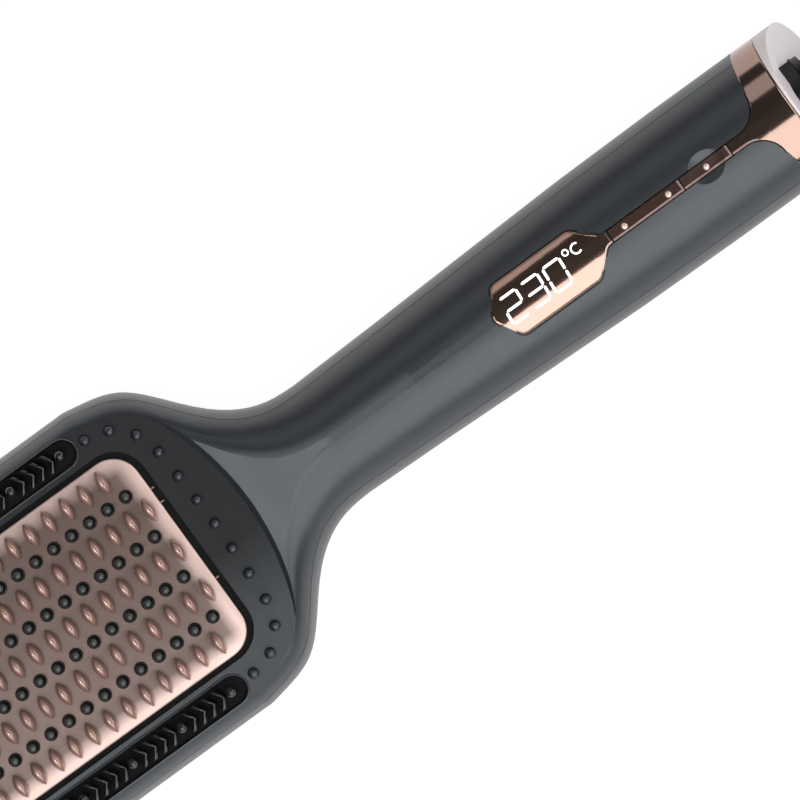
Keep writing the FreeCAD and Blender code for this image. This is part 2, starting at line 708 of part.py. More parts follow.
def guard_points():
    """Places and sides of all guard studs: those at the neck side, and their mirror images at the tip."""
    for name, place, side_share in GUARDS:
        near = getattr(size, name + "_place")
        across = getattr(size, name + "_side")
        for sign in (1, -1)[:2 if side_share else 1]:
            yield near, sign * across
            yield -size.plate_length - near, sign * across


def polygon(sides, radius, place, side, height):
    """Corners of a regular outline round an upright axis."""
    points = []
    for step in range(sides):
        angle = 2 * math.pi * (step + 0.5) / sides
        points.append(FreeCAD.Vector(place + radius * math.cos(angle), side + radius * math.sin(angle),
                                     height))
    return points


def closed_face(points):
    """A flat face inside a ring of corners."""
    return Part.Face(Part.makePolygon(points + points[:1]))


def faceted(rings):
    """A solid with flat faces between rings of corners that grow or shrink evenly from one to the next."""
    faces = [closed_face(rings[0]), closed_face(rings[-1])]
    for low, high in zip(rings, rings[1:]):
        for step in range(len(low)):
            after = (step + 1) % len(low)
            faces.append(closed_face([low[step], low[after], high[after], high[step]]))
    return Part.Solid(Part.Shell(faces))


def slot_bar(label, width, height, side, z):
    """A bar with round ends that runs along a side slot."""
    start = "slot_margin + slot_width / 2 - plate_length"
    length = "plate_length - 2 * slot_margin - slot_width"
    return fused(
        label,
        block(label + "_bar", length, width, height, start, side, z),
        rod(label + "_far", f"({width}) / 2", height, start, side, z),
        rod(label + "_near", f"({width}) / 2", height, f"{start} + {length}", side, z),
    )


def window_prism(label, height, end, z):
    """The outline of the display window with its rounded corners, and its neck in the key strip."""
    half = [
        ("lens_shoulder", "-lens_half_width"),
        ("lens_narrow", "-lens_half_width"),
        ("lens_strip_start", "-strip_half_width"),
        (end, "-strip_half_width"),
    ]
    mirrored = [(place, side[1:]) for place, side in reversed(half)]
    body = padded(label, [("lens_start", "0")] + half + mirrored, height, "0", "0", z)
    doc.recompute()
    pad = body.Tip
    rounded = [f"Edge{number}" for number, edge in enumerate(pad.Shape.Edges, start=1)
               if abs(edge.tangentAt(edge.FirstParameter).z) > 0.5
               and edge.CenterOfMass.x < size.lens_strip_start + size.overrun]
    fillet = body.newObject("PartDesign::Fillet", label + "_corners")
    fillet.Base = (pad, rounded)
    bind(fillet, Radius="lens_corner")
    return body


def tongue_prism(label):
    """The ring's tongue, which flares from the key strip to the ring on top of the handle."""
    half = size.strip_half_width
    flare = size.tongue_fillet
    low = size.handle_top - size.tongue_depth
    start = size.strip_end + size.move_gap / 2
    bend = size.ring_start - flare
    back = size.ring_start + size.ring_length / 2
    centre_side = half + flare
    slant = flare * math.sqrt(0.5)

    def point(place, side):
        return FreeCAD.Vector(place, side, low)

    edges = []
    for side in (-1, 1):
        mouth = point(size.ring_start, side * centre_side)
        middle = point(bend + slant, side * (centre_side - slant))
        edges.append(Part.makeLine(point(start, side * half), point(bend, side * half)))
        edges.append(Part.Arc(point(bend, side * half), middle, mouth).toShape())
        edges.append(Part.makeLine(mouth, point(back, side * centre_side)))
    edges.append(Part.makeLine(point(start, -half), point(start, half)))
    edges.append(Part.makeLine(point(back, -centre_side), point(back, centre_side)))
    outline = Part.Wire(Part.__sortEdges__(edges))
    return shaped(label, Part.Face(outline).extrude(FreeCAD.Vector(0, 0, size.tongue_depth + size.overrun)))


# Front shell

def screw_column(label, radius, bottom, top, point):
    """A round column on the axis of a housing screw."""
    return rod(label, radius, f"({top}) - ({bottom})", point[0], point[1], bottom)


def bush_rib(label, bottom, top):
    """A rib across the grip that holds the swivel bush."""
    place = "bush_start + saddle_margin"
    return block(label, "saddle_length", "2 * (bush_radius + bush_wall + wall)", f"({top}) - ({bottom})",
                 place, "0", bottom)


def bush_seat(label):
    """The round seat of the bush in a rib."""
    return rod(label, "bush_radius + bush_wall", "bush_length + 2 * overrun",
               "bush_start - overrun", "0", "axis_height", along="x")


def boss_profile(label, margin, start, end):
    """The swivel boss: round below its axis, square above it, with a flat top."""
    length = f"({end}) - ({start})"
    return fused(
        label,
        rod(label + "_round", f"boss_half_width + ({margin})", length, start, "0", "axis_height", along="x"),
        block(label + "_top", length, f"2 * (boss_half_width + ({margin}))",
              f"boss_top + ({margin}) - axis_height", start, "0", "axis_height"),
    )


face_cut = fused(
    "face_cut",
    cone("face_cut_round", "crease_radius",
         f"crease_radius + {CREASE_RUN_SHARE} * (handle_top - face_height + overrun)",
         "handle_top - face_height + overrun", "crease_place - crease_radius", "0", "face_height"),
    block("face_cut_long", "crease_place - crease_radius - (tip_straight - tip_length - overrun)", FORM_WIDTH,
          "handle_top - face_height + overrun", FORM_START, "0", "face_height"),
)
plate_opening = rounded_plate(
    "plate_opening", "plate_length + 2 * end_gap", "plate_width + 2 * side_gap", "plate_corner + side_gap",
    "wall + 2 * overrun", PLATE_MIDDLE, "face_under - overrun")
slots = [slot_bar(f"slot_{side}", "slot_width", "wall + 2 * overrun", across, "face_under - overrun")
         for side, across in SIDES.items()]
comb_seats = [slot_bar(f"comb_seat_{side}", "slot_width + 2 * comb_flange",
                       "face_under - clamp_top", across, "clamp_top")
              for side, across in SIDES.items()]
guard_seats = shaped("guard_seats", Part.makeCompound([
    closed_face(polygon(STUD_SIDES, size.guard_radius, place, side,
                        size.face_height - size.guard_depth)).extrude(
        FreeCAD.Vector(0, 0, size.guard_depth + size.overrun))
    for place, side in guard_points()]))
window_seat = window_prism("window_seat", "lens_depth + overrun", "strip_start", "handle_top - lens_depth")
window_hole = block("window_hole", "lens_narrow - lens_shoulder", "2 * (lens_half_width - lens_ledge)",
                    "2 * wall + overrun", "lens_shoulder", "0", "roof_under - wall")
strip_slot = block("strip_slot", "strip_end - strip_start + move_gap", "2 * (strip_half_width + move_gap)",
                   "wall + 2 * overrun", "strip_start - move_gap / 2", "0", "roof_under - overrun")
dimple = doc.addObject("Part::Sphere", "dimple")
bind(dimple, Radius="dimple_sphere")
put(dimple, "power_place", "0", "handle_top - dimple_depth + dimple_sphere")
tongue_seat = tongue_prism("tongue_seat")
front_bosses = [screw_column(f"front_boss_{number}", "screw_boss_radius", "parting_height", "roof_under",
                             point)
                for number, point in enumerate(SCREW_POINTS)]
front_screw_holes = [screw_column(f"front_hole_{number}", "screw_radius", "parting_height - overrun",
                                  "screw_top", point)
                     for number, point in enumerate(SCREW_POINTS)]
ear_side = "strip_half_width + move_gap + fit_gap + ear_width / 2"
ears = [block(f"ear_{side}", "ear_length", "ear_width", "ear_height + overrun",
              "pivot_place - ear_length / 2", across, "roof_under - ear_height")
        for side, across in (("left", ear_side), ("right", f"-({ear_side})"))]
pivot_hole = rod("pivot_hole", "pivot_radius", "pivot_length", "pivot_place", "-pivot_length / 2",
                 "pivot_height", along="y")
front_block = shared("front_block", outer_form, front_zone)
front_bush_rib = bush_rib("front_bush_rib", "parting_height", "roof_under + overrun")
front_fittings = fused("front_fittings", *front_bosses, *ears, front_bush_rib)
front_inside = shared("front_inside", front_block, front_fittings)
front_hollow = less("front_hollow", front_block, hollow_form)
front_solid = fused("front_solid", front_hollow, front_inside)
front_shell = less(
    "front_shell", front_solid, face_cut, plate_opening, *slots, *comb_seats, guard_seats, window_seat,
    window_hole, strip_slot, dimple, tongue_seat, *front_screw_holes, pivot_hole,
    bush_seat("front_bush_seat"))

# Back shell

back_block = shared("back_block", outer_form, back_zone)
back_hollow = less("back_hollow", back_block, hollow_form)
back_bosses = [screw_column(f"back_boss_{number}", "screw_boss_radius", "wall / 2", "parting_height", point)
               for number, point in enumerate(SCREW_POINTS)]
screw_shafts = [screw_column(f"screw_shaft_{number}", "screw_radius", "0", "parting_height + overrun", point)
                for number, point in enumerate(SCREW_POINTS)]
screw_recesses = [screw_column(f"screw_recess_{number}", "screw_head_radius + fit_gap", "-overrun",
                               "screw_recess + screw_head_height", point)
                  for number, point in enumerate(SCREW_POINTS)]
tray_posts = [rod(f"tray_post_{number}", "tray_post_radius", "tray_floor_height - wall / 2", place,
                  across, "wall / 2")
              for number, (place, across) in enumerate(TRAY_POSTS)]
board_posts = [rod(f"board_post_{number}", "board_post_radius", "board_height - wall / 2", place, across,
                   "wall / 2")
               for number, (place, across) in enumerate(BOARD_POSTS)]
board_screw_holes = [rod(f"board_hole_{number}", "board_screw_radius", "board_screw_length", place, across,
                         "board_top - board_screw_length")
                     for number, (place, across) in enumerate(BOARD_POSTS)]
socket_stand = block("socket_stand", "socket_length / 2", "socket_width / 2", "socket_bottom - wall / 2",
                     "socket_place - socket_length * 3 / 4", "0", "wall / 2")
back_solid = fused("back_solid", back_hollow, *back_bosses, *tray_posts, *board_posts, socket_stand,
                   bush_rib("back_bush_rib", "wall / 2", "parting_height"))
back_shell = less(
    "back_shell", back_solid, plate_opening, *slots, *comb_seats, *screw_shafts, *screw_recesses,
    *board_screw_holes, bush_seat("back_bush_seat"))

# Metal ring with its tongue, and the plate that closes the handle

ring_block = shared("ring_block", outer_form, ring_zone)
ring_band = less("ring_band", ring_block, hollow_form)
trim_ring = fused("trim_ring", ring_band, shared("tongue", tongue_prism("tongue_blank"), outer_form))
end_form = shaped("end_form", housing_form(size.wall + size.fit_gap))
end_wedge = shared("end_wedge", outer_form, end_zone)
end_plug = shared("end_plug", end_form, plug_zone)
boss_hole = boss_profile("boss_hole", "fit_gap", "ring_start", "collar_end")
clip_hole = rod("clip_hole", "clip_radius + move_gap", "collar_end - boss_end", "boss_end", "0",
                "axis_height", along="x")
end_plate = less("end_plate", fused("end_block", end_wedge, end_plug), boss_hole, clip_hole)

# Housing screws

housing_screws = grouped("housing_screws", *[
    fused(
        f"housing_screw_{number}",
        screw_column(f"housing_screw_head_{number}", "screw_head_radius", "screw_recess",
                     "screw_recess + screw_head_height", point),
        screw_column(f"housing_screw_shank_{number}", "screw_radius", "screw_recess", "screw_top", point),
    )
    for number, point in enumerate(SCREW_POINTS)])

# Heated plate with its teeth, bristle holes, bosses and tabs

def bristle_rows():
    """Places and sides of all bristles."""
    first = size.tooth_edge + size.tooth_pitch / 2
    for row in (-1.5, -0.5, 0.5, 1.5):
        for step in range(BRISTLES):
            yield -(first + step * size.tooth_pitch), row * size.row_pitch


def tooth_rows():
    """Places and sides of all teeth; the two outer rows start and end one tooth later."""
    for row in (-2, -1, 0, 1, 2):
        count = OUTER_TEETH if abs(row) == 2 else INNER_TEETH
        skipped = (INNER_TEETH - count) / 2
        for step in range(count):
            yield -(size.tooth_edge + (skipped + step) * size.tooth_pitch), row * size.row_pitch


def leaf(length, width, place, side, height):
    """Corners of a pointed oval across the brush, with two shoulders on each flank."""
    shoulder_share = 0.5
    swell_share = 0.8
    points = []
    for across, along in ((-1, 0), (-shoulder_share, -swell_share), (0, -1), (shoulder_share, -swell_share),
                          (1, 0), (shoulder_share, swell_share), (0, 1), (-shoulder_share, swell_share)):
        points.append(FreeCAD.Vector(place + along * width / 2, side + across * length / 2, height))
    return points


def toothed_plate():
    """The plate blank with its bristle holes cut and its tapered leaf teeth grown on."""
    top = size.plate_top
    depth = FreeCAD.Vector(0, 0, size.plate_thickness + 2 * size.overrun)
    holes = []
    for place, side in bristle_rows():
        rim = polygon(HOLE_SIDES, size.bristle_hole_radius, place, side, size.plate_bottom - size.overrun)
        holes.append(closed_face(rim).extrude(depth))
    teeth = []
    for place, side in tooth_rows():
        teeth.append(faceted([
            leaf(size.tooth_length, size.tooth_width, place, side, top - size.tooth_root),
            leaf(size.tooth_length * TOOTH_CREST_SHARE, size.tooth_width * TOOTH_CREST_SHARE, place, side,
                 top + size.tooth_height),
        ]))
    blank = plate_blank.Shape.translated(FreeCAD.Vector(size.middle, 0, 0))
    return blank.cut(Part.makeCompound(holes)).fuse(teeth).removeSplitter()


plate_slab = rounded_plate("plate_slab", "plate_length", "plate_width", "plate_corner", "plate_thickness",
                           PLATE_MIDDLE, "plate_bottom")
plate_bosses = [rod(f"plate_boss_{number}", "clamp_boss_radius", "carrier_thickness", place, across,
                    "clamp_top")
                for number, (place, across) in enumerate(CLAMP_SCREWS)]
plate_tabs = [block(f"plate_tab_{number}", "2 * end_gap", "tab_width", "tab_thickness", "-end_gap", across,
                    "plate_top - tab_thickness")
              for number, across in enumerate(("tab_one", "tab_two", "tab_three"))]
clamp_screw_holes = [rod(f"clamp_hole_{number}", "clamp_screw_radius", "clamp_screw_length", place, across,
                         "clamp_top - clamp_thickness")
                     for number, (place, across) in enumerate(CLAMP_SCREWS)]
plate_blank = less("plate_blank", fused("plate_solid", plate_slab, *plate_bosses, *plate_tabs),
                   *clamp_screw_holes)
doc.recompute()
heating_plate = shaped("heating_plate", toothed_plate())

# Black frame round the plate

frame_body = fused(
    "frame_body",
    rounded_plate("frame_rib", "plate_length + 2 * end_gap", "plate_width + 2 * side_gap",
                  "plate_corner + side_gap", "face_height - frame_top_drop - plate_bottom",
                  PLATE_MIDDLE, "plate_bottom"),
    rounded_plate("frame_foot", "plate_length + 2 * end_gap + 2 * frame_flange",
                  "plate_width + 2 * side_gap + 2 * frame_flange", "plate_corner + side_gap + frame_flange",
                  "face_under - plate_bottom + frame_thickness", PLATE_MIDDLE,
                  "plate_bottom - frame_thickness"),
)
frame_plate_hole = rounded_plate("frame_plate_hole", "plate_length", "plate_width", "plate_corner",
                                 "plate_thickness", PLATE_MIDDLE, "plate_bottom")
frame_throat = rounded_plate("frame_throat", "plate_length - 2 * frame_lip", "plate_width - 2 * frame_lip",
                             "plate_corner - frame_lip", "frame_thickness + 2 * overrun", PLATE_MIDDLE,
                             "plate_bottom - frame_thickness - overrun")
plate_frame = less("plate_frame", frame_body, frame_plate_hole, frame_throat)

# Bristles on their four carrier strips

def bristle(place, side):
    """One bristle: a stem with a ball at its end, drawn with few sides."""
    top = size.plate_top + size.bristle_height
    neck = top - size.bristle_tip_length
    middle = top - size.bristle_tip_length / 2
    crown = size.bristle_tip_radius / 2
    return faceted([
        polygon(BRISTLE_SIDES, size.bristle_radius, place, side,
                size.plate_bottom - size.carrier_thickness / 2),
        polygon(BRISTLE_SIDES, size.bristle_radius, place, side, neck),
        polygon(BRISTLE_SIDES, size.bristle_tip_radius, place, side, middle),
        polygon(BRISTLE_SIDES, crown, place, side, top),
    ])


def bristle_strips():
    """Four carrier strips, each in one piece with its row of bristles."""
    length = size.plate_length - 2 * size.carrier_margin
    strips = []
    for row in (-1.5, -0.5, 0.5, 1.5):
        corner = FreeCAD.Vector(size.carrier_margin - size.plate_length,
                                row * size.row_pitch - size.carrier_width / 2, size.clamp_top)
        strip = Part.makeBox(length, size.carrier_width, size.carrier_thickness, corner)
        pins = [bristle(place, side) for place, side in bristle_rows() if side == row * size.row_pitch]
        strips.append(strip.fuse(pins))
    return Part.makeCompound(strips)


bristle_combs = shaped("bristle_strips", bristle_strips())

# Heaters, clamp, screws, sensor, fuse and heat shield under the plate

CARRIER_START = "carrier_margin - plate_length"
CARRIER_LENGTH = "plate_length - 2 * carrier_margin"
heating_bars = grouped("heating_bars", *[
    padded(f"heating_bar_{side}", rectangle(CARRIER_LENGTH, "heater_width"), "carrier_thickness",
           PLATE_MIDDLE, across, "clamp_top")
    for side, across in (("left", "row_pitch"), ("right", "-row_pitch"))])
clamp_sheet = padded("clamp_sheet", rectangle("plate_length - 2 * clamp_margin", "clamp_width"),
                     "clamp_thickness", PLATE_MIDDLE, "0", "clamp_top - clamp_thickness")
heater_clamp = less("heater_clamp", clamp_sheet, *[
    rod(f"clamp_pass_{number}", "clamp_screw_radius", "clamp_thickness + 2 * overrun", place, across,
        "clamp_top - clamp_thickness - overrun")
    for number, (place, across) in enumerate(CLAMP_SCREWS)])
clamp_screws = grouped("clamp_screws", *[
    fused(
        f"clamp_screw_{number}",
        rod(f"clamp_screw_head_{number}", "clamp_head_radius", "clamp_head_height", place, across,
            "clamp_top - clamp_thickness - clamp_head_height"),
        rod(f"clamp_screw_shank_{number}", "clamp_screw_radius", "clamp_screw_length", place, across,
            "clamp_top - clamp_thickness"),
    )
    for number, (place, across) in enumerate(CLAMP_SCREWS)])
thermistor = block("thermistor", "sensor_length", "sensor_width", "carrier_thickness",
                   "sensor_place - sensor_length / 2", "0", "clamp_top")
thermal_fuse = rod("thermal_fuse", "fuse_radius", "fuse_length", "fuse_place - fuse_length / 2", "0",
                   "clamp_top - clamp_thickness - fuse_radius", along="x")
TRAY_TOP = "plate_bottom - frame_thickness"
tray_outside = rounded_plate("tray_outside", "plate_length + 2 * end_gap", "plate_width + 2 * side_gap",
                             "plate_corner + side_gap", f"{TRAY_TOP} - tray_floor_height", PLATE_MIDDLE,
                             "tray_floor_height")
tray_inside = rounded_plate("tray_inside", "plate_length + 2 * end_gap - 2 * tray_thickness",
                            "plate_width + 2 * side_gap - 2 * tray_thickness",
                            "plate_corner + side_gap - tray_thickness", f"{TRAY_TOP} - tray_floor_height",
                            PLATE_MIDDLE, "tray_floor_height + tray_thickness")
tray_notch = block("tray_notch", "end_gap + 2 * overrun", "tray_notch_width",
                   "tray_notch_height + overrun", "-overrun", "0", f"{TRAY_TOP} - tray_notch_height")
heat_shield = less("heat_shield", tray_outside, tray_inside, tray_notch)

# Side combs in the slots of the front face

def comb_fins(across):
    """The V-shaped fins of a comb, in groups between its round pins."""
    half = size.comb_fin_width / 2
    bend = size.comb_fin_bend / 2
    thick = size.comb_fin_thickness / 2
    height = size.face_height + size.comb_fin_height - size.face_under
    middle = -size.plate_length / 2
    fins = []
    for gap in range(COMB_PINS - 1):
        gap_middle = middle + (gap - (COMB_PINS - 2) / 2) * size.comb_pin_pitch
        for step in range(FINS_BETWEEN):
            place = gap_middle + (step - (FINS_BETWEEN - 1) / 2) * size.comb_fin_pitch
            outline = [(-bend - thick, -half), (bend - thick, 0), (-bend - thick, half),
                       (thick - bend, half), (bend + thick, 0), (thick - bend, -half)]
            points = []
            for along, side in outline:
                points.append(FreeCAD.Vector(place + along, across + side, size.face_under))
            fins.append(closed_face(points).extrude(FreeCAD.Vector(0, 0, height)))
    return Part.makeCompound(fins)


def side_comb(side, across):
    """One comb: a base that fills the slot, a flange under the shell, round pins and fins."""
    label = f"side_comb_{side}"
    base = slot_bar(label + "_base", "slot_width - 2 * fit_gap", "wall - comb_drop", across, "face_under")
    flange = slot_bar(label + "_flange", "slot_width + 2 * comb_flange", "comb_flange_thickness", across,
                      "face_under - comb_flange_thickness")
    pins = [rod(f"{label}_pin_{step}", "comb_pin_radius", "wall + comb_pin_height",
                f"{PLATE_MIDDLE} + {step - (COMB_PINS - 1) / 2} * comb_pin_pitch", across, "face_under")
            for step in range(COMB_PINS)]
    sign = 1 if side == "left" else -1
    return fused(label, base, flange, *pins, shaped(label + "_fins", comb_fins(sign * size.slot_side)))


side_combs = [side_comb(side, across) for side, across in SIDES.items()]

# Guard studs round the plate

def guard_stud(place, side):
    """One stud with a chamfered top, seated in the front face."""
    top = size.face_height + size.guard_height
    return faceted([
        polygon(STUD_SIDES, size.guard_radius, place, side, size.face_height - size.guard_depth),
        polygon(STUD_SIDES, size.guard_radius, place, side, top - size.guard_crown),
        polygon(STUD_SIDES, size.guard_radius - size.guard_crown, place, side, top),
    ])


guard_studs = shaped("guard_studs", Part.makeCompound([
    guard_stud(place, side) for place, side in guard_points()]))

# Display window and the keys of the strip

lens_blank = window_prism("lens_blank", "lens_depth + overrun", "strip_start - move_gap / 2",
                          "handle_top - lens_depth")
display_lens = shared("display_lens", lens_blank, outer_form)
KEY_WIDTH = "2 * strip_half_width"
KEY_TOP = "handle_top + key_proud"
KEY_UNDER = "handle_top + key_proud - key_thickness"


def key_bar(label, start, end):
    """The visible bar of a key, padded from its outline."""
    length = f"({end}) - ({start}) - move_gap"
    return padded(label, rectangle(length, KEY_WIDTH), "key_thickness", f"(({start}) + ({end})) / 2", "0",
                  KEY_UNDER)


def dot_rod(label, length, place, start):
    """A bright stud, or its seat."""
    return rod(label, "dot_radius", length, place, "0", start)


rocker_solid = fused(
    "rocker_solid",
    key_bar("rocker_bar", "strip_start", "strip_middle"),
    block("rocker_hub", "key_hub_length", KEY_WIDTH, "key_hub_height", "pivot_place - key_hub_length / 2",
          "0", f"{KEY_UNDER} - key_hub_height"),
    block("rocker_minus_foot", "key_foot_length", KEY_WIDTH, "key_foot_height",
          "minus_place - key_foot_length / 2", "0", f"{KEY_UNDER} - key_foot_height"),
    block("rocker_plus_foot", "key_foot_length", KEY_WIDTH, "key_foot_height",
          "plus_place - key_foot_length / 2", "0", f"{KEY_UNDER} - key_foot_height"),
)
temperature_rocker = less(
    "temperature_rocker", rocker_solid,
    rod("rocker_bore", "pivot_radius + run_gap", "pivot_length", "pivot_place", "-pivot_length / 2",
        "pivot_height", along="y"),
    dot_rod("minus_seat", "dot_depth + overrun", "minus_place", f"{KEY_TOP} - dot_depth"),
    dot_rod("plus_seat", "dot_depth + overrun", "plus_place", f"{KEY_TOP} - dot_depth"),
)
rocker_dots = grouped(
    "rocker_dots",
    dot_rod("minus_dot", "dot_depth + dot_proud", "minus_place", f"{KEY_TOP} - dot_depth"),
    dot_rod("plus_dot", "dot_depth + dot_proud", "plus_place", f"{KEY_TOP} - dot_depth"),
)
rocker_pivot = rod("rocker_pivot", "pivot_radius", "pivot_length", "pivot_place", "-pivot_length / 2",
                   "pivot_height", along="y")
power_solid = fused(
    "power_solid",
    key_bar("power_bar", "strip_middle", "strip_end"),
    block("power_neck", "key_flange_length", KEY_WIDTH, "key_neck", "power_place - key_flange_length / 2",
          "0", f"{KEY_UNDER} - key_neck"),
    block("power_flange", "key_flange_length", "2 * (strip_half_width + key_flange_side)",
          "key_flange_thickness", "power_place - key_flange_length / 2", "0",
          f"{KEY_UNDER} - key_neck - key_flange_thickness"),
)
DISH_FLOOR = "handle_top - dimple_depth"
power_key = less("power_key", power_solid, dimple,
                 dot_rod("power_seat", "dot_depth + overrun", "power_place", f"{DISH_FLOOR} - dot_depth"))
power_dot = dot_rod("power_dot", "dot_depth + dot_proud", "power_place", f"{DISH_FLOOR} - dot_depth")

# Control board with display and switches

board_sheet = padded("board_sheet", rectangle("board_length", "board_width"), "board_thickness",
                     "board_start + board_length / 2", "0", "board_height")
control_board = less("control_board", board_sheet, *[
    rod(f"board_pass_{number}", "board_screw_radius", "board_thickness + 2 * overrun", place, across,
        "board_height - overrun")
    for number, (place, across) in enumerate(BOARD_POSTS)])
board_screws = grouped("board_screws", *[
    fused(
        f"board_screw_{number}",
        rod(f"board_screw_head_{number}", "board_head_radius", "board_head_height", place, across,
            "board_top"),
        rod(f"board_screw_shank_{number}", "board_screw_radius", "board_screw_length", place, across,
            "board_top - board_screw_length"),
    )
    for number, (place, across) in enumerate(BOARD_POSTS)])
led_display = padded("led_display", rectangle("display_length", "display_width"), "display_height",
                     "display_place", "0", "board_top")
push_switches = grouped("push_switches", *[
    fused(
        f"switch_{place}",
        block(f"switch_case_{place}", "switch_side", "switch_side", "switch_height",
              f"{place} - switch_side / 2", "0", "board_top"),
        rod(f"switch_plunger_{place}", "plunger_radius", "switch_height + plunger_height", place, "0",
            "board_top"),
    )
    for place in ("minus_place", "plus_place", "power_place")])

# Cord outlet: bush with its boss, swivel collar, snap ring and contacts

bush_tube = rod("bush_tube", "bush_radius + bush_wall", "bush_length", "bush_start", "0", "axis_height",
                along="x")
bush_boss = boss_profile("bush_boss", "0", "bush_start + bush_length - overrun", "boss_end")
bush_bore = rod("bush_bore", "bush_radius", "collar_end - collar_head_place", "collar_head_place", "0",
                "axis_height", along="x")
swivel_bush = less("swivel_bush", fused("bush_solid", bush_tube, bush_boss), bush_bore)
COLLAR_LENGTH = "collar_end - collar_head_place"
CLIP_START = "boss_end + move_gap - collar_head_place"
swivel_collar = turned("swivel_collar", [
    ("0", "0"),
    (COLLAR_LENGTH + " - cord_bore_depth - cord_bore_point", "0"),
    (COLLAR_LENGTH + " - cord_bore_depth", "cord_bore_radius"),
    (COLLAR_LENGTH, "cord_bore_radius"),
    (COLLAR_LENGTH, "collar_end_radius"),
    (COLLAR_LENGTH + " - collar_taper", "collar_radius"),
    (CLIP_START + " + clip_length", "collar_radius"),
    (CLIP_START + " + clip_length", "collar_radius - clip_depth"),
    (CLIP_START, "collar_radius - clip_depth"),
    (CLIP_START, "collar_radius"),
    ("collar_head_length", "collar_radius"),
    ("collar_head_length", "collar_head_radius"),
    ("0", "collar_head_radius"),
], "collar_head_place", "0", "axis_height")
swivel_clip = turned("swivel_clip", [
    ("0", "collar_radius - clip_depth"),
    ("clip_length", "collar_radius - clip_depth"),
    ("clip_length", "clip_radius"),
    ("0", "clip_radius"),
], "boss_end + move_gap", "0", "axis_height")
contact_pin = rod("contact_pin", "contact_radius", "contact_length", "collar_head_place - contact_length",
                  "0", "axis_height", along="x")
contact_socket = less(
    "contact_socket",
    block("socket_block", "socket_length", "socket_width", "socket_top - socket_bottom",
          "socket_place - socket_length", "0", "socket_bottom"),
    rod("socket_bore", "contact_radius + contact_gap", "contact_length",
        "collar_head_place - contact_length - contact_gap", "0", "axis_height", along="x"),
)

# Leads inside the housing

def lead(points, radius):
    """A lead along straight runs that are joined by tangent arcs."""
    edges = []
    start = points[0]
    for before, corner, after in zip(points, points[1:], points[2:]):
        into = (corner - before).normalize()
        out = (after - corner).normalize()
        turn = into.getAngle(out)
        room = min((corner - before).Length, (after - corner).Length) / 2
        trim = min(size.lead_bend * math.tan(turn / 2), room)
        bend_start = corner - into * trim
        bend_end = corner + out * trim
        bisector = (out - into).normalize()
        bend_radius = trim / math.tan(turn / 2)
        bend_middle = corner + bisector * (bend_radius / math.cos(turn / 2) - bend_radius)
        edges.append(Part.LineSegment(start, bend_start).toShape())
        edges.append(Part.Arc(bend_start, bend_middle, bend_end).toShape())
        start = bend_end
    edges.append(Part.LineSegment(start, points[-1]).toShape())
    direction = (points[1] - points[0]).normalize()
    across = FreeCAD.Vector(0, 0, 1) if abs(direction.z) < 0.5 else FreeCAD.Vector(1, 0, 0)
    beside = direction.cross(across)
    corners = []
    for step in range(LEAD_SIDES + 1):
        angle = 2 * math.pi * step / LEAD_SIDES
        corners.append(points[0] + (across * math.cos(angle) + beside * math.sin(angle)) * radius)
    return Part.Wire(edges).makePipeShell([Part.makePolygon(corners)], True, False)


def lead_pair(label, radius, route):
    """Two mirrored leads; the route gives places, distances from the middle line and heights."""
    leads = []
    for sign in (1, -1):
        points = [FreeCAD.Vector(place, sign * across, height) for place, across, height in route]
        leads.append(lead(points, radius))
    return shaped(label, Part.makeCompound(leads))


board_middle = size.board_height + size.board_thickness / 2
sensor_middle = size.clamp_top + size.carrier_thickness / 2
heater_leads = lead_pair("heater_leads", size.lead_radius, [
    (size.lead_start, size.row_pitch, size.clamp_top),
    (size.lead_start, size.row_pitch, size.lead_low),
    (size.lead_notch_place, size.lead_notch_side, size.lead_low),
    (size.lead_neck_place, size.lead_side, size.lead_low),
    (size.lead_rise_place, size.lead_side, board_middle),
    (size.board_start, size.lead_side, board_middle),
])
sensor_leads = lead_pair("sensor_leads", size.sensor_lead_radius, [
    (size.sensor_place + size.sensor_length / 2, size.sensor_lead_side, sensor_middle),
    (size.sensor_drop_start, size.sensor_lead_side, sensor_middle),
    (size.sensor_drop_end, size.sensor_lead_side, size.sensor_lead_low),
    (size.sensor_turn_place, size.sensor_lead_side, size.sensor_lead_low),
    (size.lead_neck_place, size.sensor_neck_side, size.sensor_lead_low),
    (size.sensor_clear_place, size.sensor_neck_side, size.sensor_lead_low),
    (size.lead_rise_place, size.sensor_board_side, board_middle),
    (size.board_start, size.sensor_board_side, board_middle),
])
socket_back = size.socket_place - size.socket_length
mains_leads = lead_pair("mains_leads", size.lead_radius, [
    (socket_back, size.mains_lead_side, size.mains_lead_height),
    (socket_back - size.mains_lead_reach, size.mains_lead_side, size.mains_lead_height),
    (socket_back - size.mains_lead_reach, size.mains_lead_side, size.board_height),
])

# Check the model and write one file for each sub-part

NODES = [
    front_shell, back_shell, trim_ring, end_plate, housing_screws, heating_plate, plate_frame, bristle_combs,
    heating_bars, heater_clamp, clamp_screws, thermistor, thermal_fuse, heat_shield, *side_combs, guard_studs,
    display_lens, temperature_rocker, rocker_dots, rocker_pivot, power_key, power_dot, control_board,
    board_screws, led_display, push_switches, swivel_bush, swivel_collar, swivel_clip, contact_pin,
    contact_socket, heater_leads, sensor_leads, mains_leads,
]
doc.recompute()
for thing in doc.Objects:
    if "Invalid" in thing.State or "Error" in thing.State:
        raise RuntimeError(f"{thing.Label} failed: {thing.State}")
for node in NODES:
    if node.Shape.isNull() or not node.Shape.isValid():
        raise RuntimeError(f"{node.Label} has no sound shape")
os.makedirs("parts", exist_ok=True)
for node in NODES:
    node.Shape.exportStep(f"parts/{node.Label}.step")
    print(f"{node.Label}: {len(node.Shape.Solids)} solids, {node.Shape.Volume:.1f} mm3")
